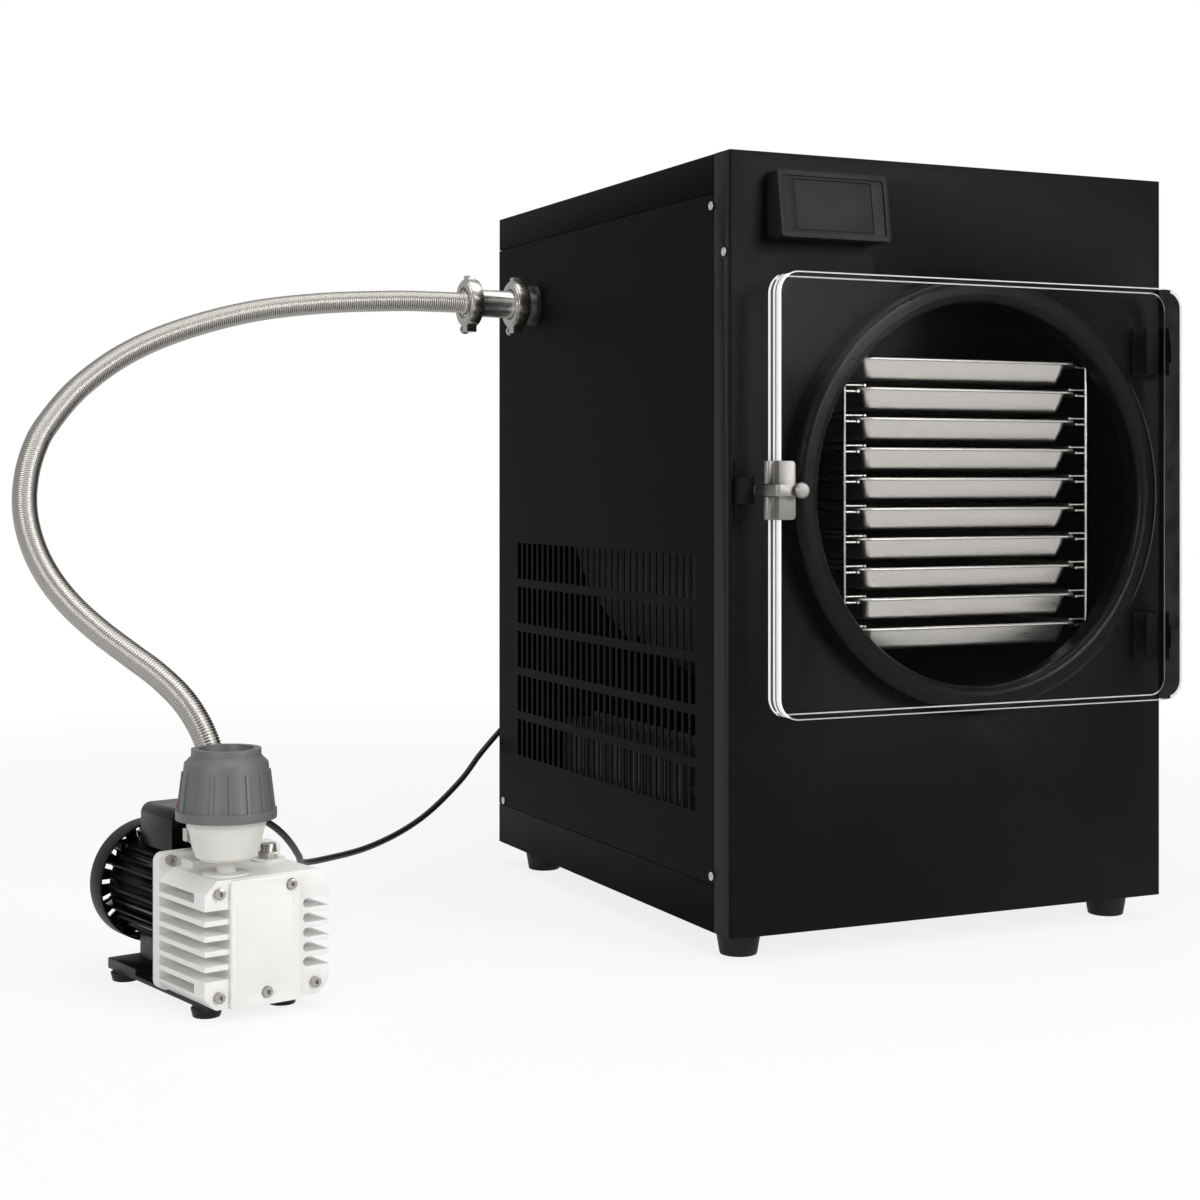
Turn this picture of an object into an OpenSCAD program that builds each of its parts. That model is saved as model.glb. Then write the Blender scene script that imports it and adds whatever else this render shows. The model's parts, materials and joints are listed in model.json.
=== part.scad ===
// Freeze dryer: a floor cabinet with a clear door over a round vacuum chamber,
// ten trays on a wire rack, and an oil vacuum pump beside it on a steel hose.

/* [Cabinet] */
// Width of the cabinet
cab_w = 520; // [510:5:600]
// Depth of the cabinet, without the door
cab_d = 594; // [580:2:700]
// Height of the cabinet, without its feet
cab_h = 760; // [740:5:900]
// Thickness of the steel sheet
sheet_t = 1.5; // [1:0.25:2.5]
// Gap at the seams between the panels
seam = 0.8; // [0.4:0.1:0.9]
// Depth of the folded edges of the front panel
front_return = 32; // [24:1:40]
// Height of the folded edges of the base pan
base_flange = 46; // [40:1:54]
// Height of the folded edges of the top cover
top_flange = 37.5; // [30:0.5:44]
// Radius of the upright edges of the front panel
edge_r = 2.5; // [1:0.5:4]

/* [Feet] */
// Height of a foot
foot_h = 26; // [15:1:40]
// Radius of a foot where it meets the cabinet
foot_top_r = 23; // [18:0.5:26]
// Radius of a foot at the floor
foot_bottom_r = 18.5; // [12:0.5:22]
// Distance of the feet from the sides
foot_inset_x = 35; // [30:1:60]
// Distance of the front feet from the front
foot_inset_front = 47; // [40:1:80]
// Distance of the rear feet from the back
foot_inset_rear = 58; // [40:1:80]

/* [Air slots] */
// Rows of slots on each side
slot_rows = 5; // [2:1:5]
// Slots in a row
slot_cols = 30; // [10:1:30]
// Width of a slot
slot_w = 10.3; // [6:0.1:12]
// Height of a slot
slot_h = 43; // [30:1:46]
// Spacing of the slots along a row
slot_pitch = 15.6; // [14:0.1:15.8]
// Spacing of the rows
slot_row_pitch = 52.7; // [50:0.1:56]
// Distance of the first slot from the front
slot_start_y = 72; // [60:1:90]
// Height of the lowest slots above the cabinet's floor
slot_start_z = 113; // [90:1:120]

/* [Vacuum chamber] */
// Inner radius of the chamber
chamber_r = 203; // [199:1:205]
// Wall of the chamber
chamber_wall = 3; // [2:0.5:4]
// Depth of the chamber behind the front panel
chamber_d = 504; // [490:2:520]
// Length of the lip in front of the front panel
lip_len = 12; // [8:1:16]
// Sideways place of the chamber's centre
chamber_x = 20; // [10:1:24]
// Height of the chamber's centre above the cabinet's floor
chamber_z = 427; // [415:1:440]
// Radius of the chamber's closed end
end_r = 30; // [20:1:40]
// Outer radius of the flange behind the front panel
flange_r = 219; // [214:1:222]
// Thickness of that flange
flange_t = 3; // [2:0.5:4]
// Radius of the cooling tube around the chamber
coil_tube_r = 4.7; // [3:0.1:4.7]
// Turns of the cooling tube
coil_turns = 11; // [6:1:14]
// Thickness of the foam around the chamber
foam_t = 20; // [14:1:21]

/* [Door seal] */
// Inner radius of the rubber ring
seal_in_r = 193.5; // [190:0.5:194]
// Outer radius of the rubber ring
seal_out_r = 219; // [214:0.5:224]
// Clearance between the door and the rubber ring
seal_gap = 0.3; // [0.1:0.1:0.5]

/* [Door] */
// Width of the clear door
door_w = 481; // [470:1:500]
// Height of the clear door
door_h = 427; // [424:1:450]
// Thickness of the clear door
door_t = 25; // [18:1:30]
// Space between the door and the front panel
door_gap = 25; // [23:0.5:30]
// Radius of the door's corners
door_r = 21; // [10:1:30]
// Sideways place of the door's left edge
door_left = -233; // [-240:1:-228]

/* [Door hinges] */
// Distance of the hinge axis from the door's right edge
hinge_out = 6; // [6:0.5:8]
// Outer radius of a hinge knuckle
knuckle_r = 6; // [5:0.5:6]
// Radius of a hinge pin
hinge_pin_r = 2.5; // [2:0.5:3.5]
// Length of the middle knuckle
knuckle_len = 24; // [16:1:40]
// Distance of each hinge from the middle of the door's height
hinge_offset = 150; // [130:5:170]
// Running clearance of the pins, on the radius
pin_clear = 0.05; // [0.02:0.01:0.1]
// Clearance between knuckles
knuckle_gap = 0.4; // [0.3:0.1:0.8]

/* [Trays] */
// Width over the rims of a tray
tray_w = 268; // [250:1:272]
// Length of a tray
tray_l = 450; // [400:5:455]
// Depth of a tray below its rim
tray_depth = 22; // [16:1:23]
// Thickness of the tray's sheet
tray_t = 0.8; // [0.5:0.1:1.2]
// Width of the rim that rests on the rack
tray_rim = 8; // [8:0.5:12]
// How far the walls lean in towards the tray's floor
tray_lean = 8; // [6:1:12]
// Spacing of the trays
tray_pitch = 30; // [30:0.5:31]
// Height of the lowest rim above the chamber's centre
tray_low = -133; // [-134:1:-128]
// Distance of the tray's front from the front panel's face
tray_front = -2; // [-4:0.5:4]

/* [Tray rack] */
// Radius of an upright wire
rod_r = 1.6; // [1.2:0.1:2]
// Radius of a runner wire
runner_r = 1.4; // [1:0.1:1.5]
// Distance of the upright wires from the chamber's middle plane
rod_x = 147.5; // [146:0.5:148]
// Thickness of a heater mat
mat_t = 2; // [1:0.5:3]

/* [Display] */
// Width of the display housing
bezel_w = 123.5; // [110:0.5:140]
// Height of the display housing
bezel_h = 66; // [56:1:76]
// How far the housing's top stands out
bezel_top_out = 20; // [14:1:24]
// How far the housing's bottom stands out
bezel_low_out = 30; // [24:1:36]
// Width of the housing's raised rim
bezel_rim = 5; // [3:0.5:8]
// Sideways place of the housing's left side
bezel_left = -219; // [-230:1:-200]
// Height of the housing's lower edge above the cabinet's floor
bezel_low_z = 675; // [668:1:685]
// Width of the screen
screen_w = 87; // [80:1:95]
// Height of the screen
screen_h = 50.5; // [44:0.5:54]

/* [Vacuum port and hose] */
// Distance of the port from the front
port_y = 487; // [470:1:490]
// Height of the port above the cabinet's floor
port_z = 647; // [640:1:655]
// Outer radius of the port's tube
port_r = 16; // [14:0.5:17]
// Radius of the rubber grommet
grommet_r = 25; // [22:1:28]
// Radius of a flange at a joint of the vacuum line
kf_flange_r = 20; // [20:0.5:20]
// Outer radius of a clamp ring
clamp_r = 27.5; // [25:0.5:30]
// Width of a clamp ring
clamp_w = 16; // [14:0.5:18]
// Diameter of the steel hose
hose_d = 24; // [20:1:28]

/* [Latch] */
// Height of the latch plate on the door
latch_h = 56; // [40:1:70]
// Height of the latch above the door's middle
latch_up = 5; // [0:1:20]
// Radius of the latch's knuckles
latch_knuckle_r = 4; // [3.5:0.5:4.5]
// Radius of the latch's pin
latch_pin_r = 2; // [1.5:0.5:2.5]
// Height of the latch lever
lever_h = 11; // [8:0.5:14]
// Radius of the latch's knob
latch_knob_r = 7.5; // [6:0.5:9]

/* [Compressor and condenser] */
// Radius of the compressor's shell
comp_r = 74; // [60:1:80]
// Height of the compressor's shell
comp_h = 164; // [140:1:168]
// Length of the condenser
cond_l = 300; // [200:5:340]
// Height of the condenser
cond_h = 168; // [168:1:180]
// Thickness of the condenser
cond_t = 36; // [24:1:40]
// Radius of the condenser fan
fan_r = 74; // [60:1:78]

/* [Pump] */
// Sideways place of the pump's front
pump_x = -711.4; // [-760:1:-690]
// Distance of the pump's front behind the cabinet's front
pump_y = 10; // [0:1:30]
// Angle that the pump is turned by
pump_yaw = 13; // [0:1:20]
// Width of the pump's casting
pump_w = 122; // [116:1:130]
// Depth of the finned casting
block_d = 89; // [80:1:100]
// Height of the casting's underside above the floor
pump_low = 12; // [10:0.5:16]
// Height of the finned casting
block_h = 111; // [108:1:120]
// Height of the casting's rear flange
rear_flange_h = 122; // [118:1:130]
// Thickness of the rear flange
rear_flange_t = 12; // [8:1:16]
// Fins on each side
fin_count = 7; // [5:1:7]
// How far a fin stands out
fin_out = 15; // [10:1:18]
// Width of the front cover plate
front_plate_w = 67; // [60:1:72]
// Height of the motor's axis above the floor
motor_z = 84; // [80:1:90]
// Radius of the motor's housing
motor_r = 50; // [46:1:52]
// Length of the motor's housing
motor_l = 124; // [110:1:140]
// Radius of the fan cowl
cowl_r = 58; // [56:1:62]
// Length of the fan cowl
cowl_l = 26; // [22:1:34]
// Radius of the motor's shaft
shaft_r = 7; // [5:0.5:9]

/* [Exhaust filter] */
// Sideways place of the filter on the pump
filter_x = -26; // [-30:1:-20]
// Distance of the filter behind the pump's front
filter_y = 28; // [26:1:45]
// Radius of the cap's lower ring
cap_ring_r = 44; // [40:0.5:48]
// Radius of the cap's body at the bottom
cap_r = 41.5; // [36:0.5:42]
// Radius of the cap's body at the top
cap_top_r = 36.5; // [34:0.5:38]
// Height of the cap over its lower ring
cap_h = 47; // [40:1:60]
// Ribs on the cap
cap_ribs = 16; // [8:1:24]
// Radius of the ring on top of the cap
cap_mouth_r = 30.5; // [29:0.5:32]
// Radius of the white bowl at the top
bowl_r = 34.5; // [30:0.5:36]
// Height of the white bowl
bowl_h = 36; // [30:1:42]

/* [Lead] */
// Diameter of the pump's lead
lead_d = 7; // [6:0.5:8]

/* [Hidden] */
$fn = 48;
over = 1;                                   // how far a cut runs past a face

// ---- heights and places that follow from the sizes above ----
floor_z = foot_h;                           // underside of the cabinet
roof_z = foot_h + cab_h;
side_x = cab_w / 2;
door_z = floor_z + chamber_z;               // middle of the door and of the chamber
door_right = door_left + door_w;
door_mid = (door_left + door_right) / 2;
door_rear = -door_gap;
door_front = -door_gap - door_t;
hinge_x = door_right + hinge_out;
hinge_y = -door_gap / 2;
port_abs_z = floor_z + port_z;
knob_front = door_front - 18;

// ---- the whole stands with the middle of its footprint at the origin ----
socket_out = 3;
cowl_end = block_d + rear_flange_t + motor_l + cowl_l - 4;
left_reach = pump_x - cowl_end * sin(pump_yaw) - cowl_r * cos(pump_yaw);
place_x = -(left_reach + side_x) / 2;
place_y = -(knob_front + cab_d + socket_out) / 2;

module in_cabinet() translate([place_x, place_y, 0]) children();
module in_pump()
    in_cabinet() translate([pump_x, pump_y, 0]) rotate([0, 0, pump_yaw]) children();

// ---- shapes used by several pieces ----
// A flat rectangle with round corners, about its middle
module round_rect(w, h, r) {
    square([w - 2 * r, h], center = true);
    square([w, h - 2 * r], center = true);
    for (x = [-1, 1], y = [-1, 1]) translate([x * (w / 2 - r), y * (h / 2 - r)]) circle(r);
}
// Turns what is drawn from the floor up so that it runs backwards from the front
module backwards() rotate([-90, 0, 0]) children();
// Turns it so that it runs to the right
module rightwards() rotate([0, 90, 0]) children();
// A straight pipe between two points
module pipe(a, b, r) {
    d = b - a;
    len = norm(d);
    translate(a) rotate([0, acos(d[2] / len), atan2(d[1], d[0])]) rotate([0, 0, 17])
        cylinder(r = r, h = len);
}
// A pipe along several points with a small solder ball at each turn
module pipe_run(points, r) {
    for (i = [0 : len(points) - 2]) pipe(points[i], points[i + 1], r);
    for (i = [1 : len(points) - 2]) translate(points[i]) rotate([25, 35, 15])
        sphere(r = r * 1.3);
}

// ---- cabinet panels ----
side_screws = [[36.7, cab_h - 50.5], [10.2, cab_h - 97.9], [36.1, 54.8], [cab_d - 15.5, 51.8]];
screw_r = 2;
screw_head_r = 4.3;
screw_head_h = 1.8;
screw_len = 7;
tongue = 14;                                // overlap of the joggled edges
tongue_in = 40;                             // how far the tongues stay from the corners
rear_gap = 0.5;
rear_screw_x = sheet_t + rear_gap + 8;      // rear screws, from the cabinet's side

module screw_holes(side)
    for (p = side_screws)
        translate([side * side_x, p[0], floor_z + p[1]])
            rightwards() cylinder(r = screw_r + 0.15, h = 4 * (sheet_t + screw_len), center = true);

module front_outline(inset) {
    r = edge_r - min(inset, edge_r / 2);
    translate([-side_x + inset + r, inset]) square([cab_w - 2 * (inset + r), front_return]);
    translate([-side_x + inset, inset + r]) square([cab_w - 2 * inset, front_return - r - inset]);
    for (x = [-1, 1]) translate([x * (side_x - inset - r), inset + r]) circle(r);
}

module front_panel() color("#1b1b1c") in_cabinet() difference() {
    translate([0, 0, floor_z]) difference() {
        linear_extrude(cab_h) intersection() {
            front_outline(0);
            translate([-side_x, 0]) square([cab_w, front_return]);
        }
        translate([-side_x + sheet_t, sheet_t, sheet_t])
            cube([cab_w - 2 * sheet_t, front_return, cab_h - 2 * sheet_t]);
    }
    translate([chamber_x, -over, door_z])
        backwards() cylinder(r = chamber_r + chamber_wall + 1, h = front_return, $fn = 180);
    translate([bezel_left + 10, -over, floor_z + bezel_low_z + 8])
        cube([bezel_w - 20, front_return / 2, bezel_h - 16]);
    for (s = [-1, 1]) screw_holes(s);
}

module side_sheet(port) {
    low = floor_z + base_flange + seam;
    high = roof_z - top_flange - seam;
    front = front_return + seam;
    difference() {
        union() {
            translate([-side_x, front, low]) cube([sheet_t, cab_d - front, high - low]);
            // tongues behind the base pan, the top cover and the front panel
            translate([-side_x + sheet_t, front + tongue_in, low - tongue])
                cube([sheet_t, cab_d - front - 2 * tongue_in, 2 * tongue]);
            translate([-side_x + sheet_t, front + tongue_in, high - tongue])
                cube([sheet_t, cab_d - front - 2 * tongue_in, 2 * tongue]);
            translate([-side_x + sheet_t, front - tongue, low + tongue_in])
                cube([sheet_t, 2 * tongue, high - low - 2 * tongue_in]);
            // edge that the rear panel is screwed to
            translate([-side_x, cab_d - 2 * sheet_t, low]) cube([tongue, sheet_t, high - low]);
        }
        for (row = [0 : slot_rows - 1], col = [0 : slot_cols - 1])
            translate([-side_x - over, slot_start_y + col * slot_pitch,
                       floor_z + slot_start_z + row * slot_row_pitch])
                cube([2 * sheet_t + 2 * over, slot_w, slot_h]);
        if (port)
            translate([-side_x - over, port_y, port_abs_z])
                rightwards() cylinder(r = grommet_r - 3, h = 2 * sheet_t + 2 * over);
        screw_holes(-1);
        for (z = [low + 30, high - 30]) translate([rear_screw_x - side_x, cab_d + over, z])
            rotate([90, 0, 0]) cylinder(r = screw_r + 0.15, h = 20);
    }
}

module left_side_panel() color("#1b1b1c") in_cabinet() side_sheet(true);
module right_side_panel() color("#1b1b1c") in_cabinet() mirror([1, 0, 0]) side_sheet(false);

inlet_x = 150;
inlet_z = floor_z + 120;
socket_x = -195;
socket_z = floor_z + 225;
socket_w = 50;
socket_h = 28;
switch_dx = 46;                             // switch beside the inlet

module rear_panel() color("#1b1b1c") in_cabinet() {
    low = floor_z + base_flange + seam;
    high = roof_z - top_flange - seam;
    half = side_x - sheet_t - rear_gap;
    difference() {
        union() {
            translate([-half, cab_d - sheet_t, low]) cube([2 * half, sheet_t, high - low]);
            for (z = [low, high])
                translate([-half + tongue_in, cab_d - 2 * sheet_t, z - tongue])
                    cube([2 * (half - tongue_in), sheet_t, 2 * tongue]);
        }
        for (c = [[inlet_x, inlet_z], [socket_x, socket_z]])
            translate([c[0], cab_d - 20, c[1]])
                cube([socket_w - 6, 50, socket_h - 4], center = true);
        translate([inlet_x - switch_dx, cab_d, inlet_z]) cube([18, 50, 24], center = true);
        for (x = [rear_screw_x - side_x, side_x - rear_screw_x], z = [low + 30, high - 30])
            translate([x, cab_d + over, z]) rotate([90, 0, 0]) cylinder(r = screw_r + 0.15, h = 20);
    }
    // vent ribs pressed into the sheet
    for (i = [0 : 5])
        translate([-90, cab_d - 0.01, roof_z - 200 + i * 22]) cube([180, 2, 5]);
}

cradle_y = 440;
cradle_w = 340;

module base_pan() color("#1b1b1c") in_cabinet() {
    front = front_return + seam;
    difference() {
        translate([-side_x, front, floor_z]) difference() {
            cube([cab_w, cab_d - front, base_flange]);
            translate([sheet_t, sheet_t, 2])
                cube([cab_w - 2 * sheet_t, cab_d - front - 2 * sheet_t, 100]);
        }
        screw_holes(-1);
        screw_holes(1);
    }
    // cradle under the back of the chamber
    translate([chamber_x - cradle_w / 2, cradle_y, floor_z + 1.5]) cube([cradle_w, 18, 2]);
    difference() {
        translate([chamber_x - cradle_w / 2, cradle_y, floor_z + 1.5])
            cube([cradle_w, 2.5, door_z - foam_out_r * 0.7 - floor_z]);
        translate([chamber_x, cradle_y - 10, door_z]) backwards()
            cylinder(r = foam_out_r, h = 30, $fn = 180);
    }
}

module top_cover() color("#1b1b1c") in_cabinet() {
    front = front_return + seam;
    translate([-side_x, front, roof_z - top_flange]) difference() {
        cube([cab_w, cab_d - front, top_flange]);
        translate([sheet_t, -over, -over])
            cube([cab_w - 2 * sheet_t, cab_d - front - sheet_t + over, top_flange - sheet_t + over]);
    }
}

foot_places = [for (s = [-1, 1], y = [foot_inset_front, cab_d - foot_inset_rear])
    [s * (side_x - foot_inset_x), y]];

module feet() color("#121212") in_cabinet()
    for (p = foot_places) translate([p[0], p[1], 0]) difference() {
        cylinder(r1 = foot_bottom_r, r2 = foot_top_r, h = foot_h);
        translate([0, 0, -over]) cylinder(r = 7, h = 8 + over);
    }

module screw(len) {
    cylinder(r = screw_r, h = len);
    translate([0, 0, len]) difference() {
        cylinder(r = screw_head_r, h = screw_head_h);
        translate([0, 0, screw_head_h - 1]) cylinder(r = 1.6, h = 2, $fn = 6);
    }
}

module panel_screws() color("#c9c9c6") in_cabinet() {
    for (s = [-1, 1], p = side_screws)
        translate([s * (side_x - screw_len), p[0], floor_z + p[1]])
            rotate([0, s * 90, 0]) screw(screw_len);
    low = floor_z + base_flange + seam;
    high = roof_z - top_flange - seam;
    for (x = [rear_screw_x - side_x, side_x - rear_screw_x], z = [low + 30, high - 30])
        translate([x, cab_d - screw_len, z]) backwards() screw(screw_len);
}

// ---- display ----
bezel_tilt = atan((bezel_low_out - bezel_top_out) / bezel_h);
bezel_mid_x = bezel_left + bezel_w / 2;
bezel_mid_z = floor_z + bezel_low_z + bezel_h / 2;
bezel_mid_out = (bezel_top_out + bezel_low_out) / 2;
bezel_r = 4;
bezel_wall = 4;
bezel_recess = 2;
glass_t = 1.6;

// The plane of the display's face: x to the right, y up, z out of the face
module on_bezel() translate([bezel_mid_x, -bezel_mid_out, bezel_mid_z])
    rotate([90 - bezel_tilt, 0, 0]) children();

module bezel_block(inset, r) intersection() {
    translate([bezel_mid_x, 0, bezel_mid_z])
        rotate([90, 0, 0]) linear_extrude(60) round_rect(bezel_w - 2 * inset, bezel_h - 2 * inset, r);
    on_bezel() translate([-100, -100, -80 - inset]) cube([200, 200, 80]);
}

module display_bezel() color("#2c2c2e") in_cabinet() difference() {
    bezel_block(0, bezel_r);
    // hollow behind, open towards the panel
    translate([0, over, 0]) bezel_block(bezel_wall, 1.5);
    // recessed face and the window for the screen
    on_bezel() translate([0, 0, -bezel_recess]) linear_extrude(10)
        round_rect(bezel_w - 2 * bezel_rim, bezel_h - 2 * bezel_rim, 2);
    on_bezel() translate([0, 0, -20]) linear_extrude(30)
        round_rect(screen_w, screen_h, 1.5);
}

module touchscreen() color("#262628") in_cabinet() {
    // glass in the window, on a module that bears on the housing's inner face
    on_bezel() translate([0, 0, -bezel_wall - over]) {
        linear_extrude(glass_t + over) round_rect(screen_w - 0.6, screen_h - 0.6, 1.5);
        translate([0, 0, -4]) linear_extrude(4) square([screen_w + 6, screen_h + 1], center = true);
    }
}

board_w = 130;
board_h = 74;
board_y = 26;

module control_board() color("#1f5a38") in_cabinet() {
    translate([bezel_mid_x - board_w / 2, board_y, bezel_mid_z - board_h / 2 - 2])
        cube([board_w, 1.6, board_h]);
    // spacers to the front panel
    for (x = [-1, 1], z = [-1, 1])
        translate([bezel_mid_x + x * (board_w / 2 - 4), sheet_t, bezel_mid_z - 2 + z * (board_h / 2 - 4)])
            backwards() cylinder(r = 3, h = board_y - sheet_t);
    // relays and a terminal block
    for (i = [0 : 3]) translate([bezel_mid_x - 50 + i * 24, board_y + 1.6, bezel_mid_z - 30])
        cube([19, 15, 16]);
    translate([bezel_mid_x - 50, board_y + 1.6, bezel_mid_z + 8]) cube([90, 11, 12]);
}

// ---- vacuum chamber ----
chamber_out_r = chamber_r + chamber_wall;
coil_r = chamber_out_r + coil_tube_r + 0.2; // radius of the turns' middle
foam_in_r = chamber_out_r + 2 * coil_tube_r + 0.6;
foam_out_r = foam_in_r + foam_t;
foam_front = sheet_t + flange_t + 1;
coil_start = 36;
coil_pitch = (chamber_d - 2 * coil_start - 40) / (coil_turns - 1);

// A revolved shape about the chamber's axis: x is the radius, y runs backwards
module about_chamber() translate([chamber_x, 0, door_z]) backwards() rotate_extrude($fn = 180)
    children();

// Half section of a drum from y = front to its closed, rounded end
module drum_section(r, front, back, corner) {
    translate([0, front]) square([r, back - front - corner]);
    translate([0, front]) square([r - corner, back - front]);
    translate([r - corner, back - corner]) circle(corner);
}

port_stub_x = -60;
port_chord = sqrt(pow(chamber_out_r, 2) - pow(port_stub_x - chamber_x, 2));
port_wall = 1.5;

module vacuum_chamber() color("#26272a") in_cabinet() difference() {
    about_chamber() {
        difference() {
            drum_section(chamber_out_r, -lip_len, chamber_d, end_r);
            drum_section(chamber_r, -lip_len - over, chamber_d - chamber_wall, end_r - chamber_wall);
        }
        translate([chamber_r + 1, sheet_t]) square([flange_r - chamber_r - 1, flange_t]);
    }
    translate([port_stub_x, port_y, door_z]) cylinder(r = port_r - port_wall, h = chamber_out_r);
}

module evaporator_coil() color("#b87045") in_cabinet() {
    about_chamber() for (i = [0 : coil_turns - 1])
        translate([coil_r, coil_start + i * coil_pitch]) circle(coil_tube_r);
    // headers that join the turns
    for (s = [-1, 1]) translate([chamber_x, 0, door_z]) rotate([0, s * 12, 0])
        translate([0, coil_start, -coil_r]) backwards()
            cylinder(r = coil_tube_r - 0.8, h = (coil_turns - 1) * coil_pitch);
}

// Copper lines between the coil, the compressor, the filter drier and the condenser
module refrigerant_lines() color("#b87045") in_cabinet() {
    line_y = coil_start + 4.5 * coil_pitch;
    top = door_z - coil_r * cos(12) - coil_tube_r + 0.8;
    pipe_run([[chamber_x + coil_r * sin(12), line_y, top], [chamber_x + coil_r * sin(12), line_y, 150],
              [comp_x, line_y, 150], [comp_x, comp_y - comp_r, 150]], 3);
    pipe_run([[chamber_x - coil_r * sin(12), line_y, top], [chamber_x - coil_r * sin(12), line_y, 60],
              [drier_x, line_y, 60], [drier_x, line_y, drier_z]], 2);
    // filter drier, its line to the condenser and the hot line from the compressor
    translate([drier_x, line_y, drier_z - 2]) {
        cylinder(r1 = 4, r2 = 13, h = 12);
        translate([0, 0, 12]) cylinder(r = 13, h = 70);
        translate([0, 0, 82]) cylinder(r1 = 13, r2 = 4, h = 12);
    }
    top_row = cond_z + cond_h - 14;
    cold_x = cond_x + cond_t * 0.72;
    hot_x = cond_x + cond_t * 0.28;
    front = cond_y - 16;
    pipe_run([[drier_x, line_y, drier_z + 88], [drier_x, line_y, top_row + 16],
              [drier_x, front, top_row + 16], [cold_x, front, top_row + 16],
              [cold_x, front, top_row], [cold_x, cond_y - 6, top_row]], 2.2);
    out_y = comp_y - sqrt(pow(comp_r, 2) - 900);
    pipe_run([[comp_x + 30, out_y, top_row], [comp_x + 30, front - 10, top_row],
              [hot_x, front - 10, top_row], [hot_x, cond_y - 6, top_row]], 2.6);
}

module chamber_insulation() color("#3a3a3c") in_cabinet() difference() {
    about_chamber() difference() {
        drum_section(foam_out_r, foam_front, chamber_d + 12, end_r + 10);
        translate([0, -over])
            square([foam_in_r, chamber_d - end_r - 4]);
        drum_section(foam_in_r, foam_front - over, chamber_d + 0.5, end_r + 8);
    }
    // room for the port's elbow
    translate([-side_x, port_y - port_r - 3, door_z + port_chord - 14])
        cube([side_x + port_stub_x + port_r + 3, 2 * port_r + 6, foam_out_r]);
    // ways out for the two lines
    for (s = [-1, 1])
        translate([chamber_x + s * coil_r * sin(12), coil_start + 4.5 * coil_pitch, door_z])
            rotate([180, 0, 0]) cylinder(r = 5, h = foam_out_r);
}

module door_gasket() color("#141414") in_cabinet() {
    deep = door_gap - seal_gap;
    round_r = 9;
    about_chamber() difference() {
        union() {
            translate([seal_in_r, -deep + round_r]) square([seal_out_r - seal_in_r, deep - round_r]);
            translate([seal_in_r + round_r, -deep])
                square([seal_out_r - seal_in_r - 2 * round_r, deep]);
            for (x = [seal_in_r + round_r, seal_out_r - round_r])
                translate([x, -deep + round_r]) circle(round_r);
        }
        // groove over the chamber's lip
        translate([chamber_r - 0.1, -lip_len - 0.1]) square([chamber_wall + 0.2, lip_len + over]);
    }
}

// ---- trays on their rack ----
tray_count = 10;
tray_corner = 14;
bead = 1.5;                                 // thickness of the rim's turned-down edge
bead_h = 2.5;
tray_z = [for (i = [0 : tray_count - 1]) door_z + tray_low + i * tray_pitch];
runner_x = tray_w / 2 - bead / 2 - 0.2;     // under the rims' turned-down edges
runner_drop = bead_h + runner_r + 0.05;
guide_x = tray_w / 2 - 9;                   // wires over the rims that stop a tray from tipping
rack_front = 7;
rack_back = tray_front + tray_l + 4;

module tray_form(w, l, r, z) translate([0, 0, z]) linear_extrude(0.01) round_rect(w, l, r);

module tray_body(shrink) {
    w = tray_w - 2 * tray_rim - 2 * shrink;
    l = tray_l - 2 * tray_rim - 2 * shrink;
    floor = -tray_depth + (shrink > 0 ? shrink : 0);
    hull() {
        tray_form(w, l, tray_corner - shrink, shrink > 0 ? 1 : -0.01);
        tray_form(w - 1.7 * tray_lean, l - 1.7 * tray_lean, tray_corner - 2 - shrink, floor + 4);
        tray_form(w - 2 * tray_lean, l - 2 * tray_lean, tray_corner - 3 - shrink, floor + 1.2);
        tray_form(w - 2 * tray_lean - 3, l - 2 * tray_lean - 3, tray_corner - 4 - shrink, floor);
    }
}

module tray(n) color("#b9b6b0") in_cabinet()
    translate([chamber_x, tray_front + tray_l / 2, tray_z[n - 1]]) difference() {
        union() {
            translate([0, 0, -tray_t]) linear_extrude(tray_t)
                round_rect(tray_w, tray_l, tray_corner + 4);
            translate([0, 0, -bead_h]) linear_extrude(bead_h) difference() {
                round_rect(tray_w, tray_l, tray_corner + 4);
                round_rect(tray_w - 2 * bead, tray_l - 2 * bead, tray_corner + 4 - bead);
            }
            tray_body(0);
        }
        tray_body(tray_t);
    }

module tray_1() tray(1);
module tray_2() tray(2);
module tray_3() tray(3);
module tray_4() tray(4);
module tray_5() tray(5);
module tray_6() tray(6);
module tray_7() tray(7);
module tray_8() tray(8);
module tray_9() tray(9);
module tray_10() tray(10);

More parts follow.
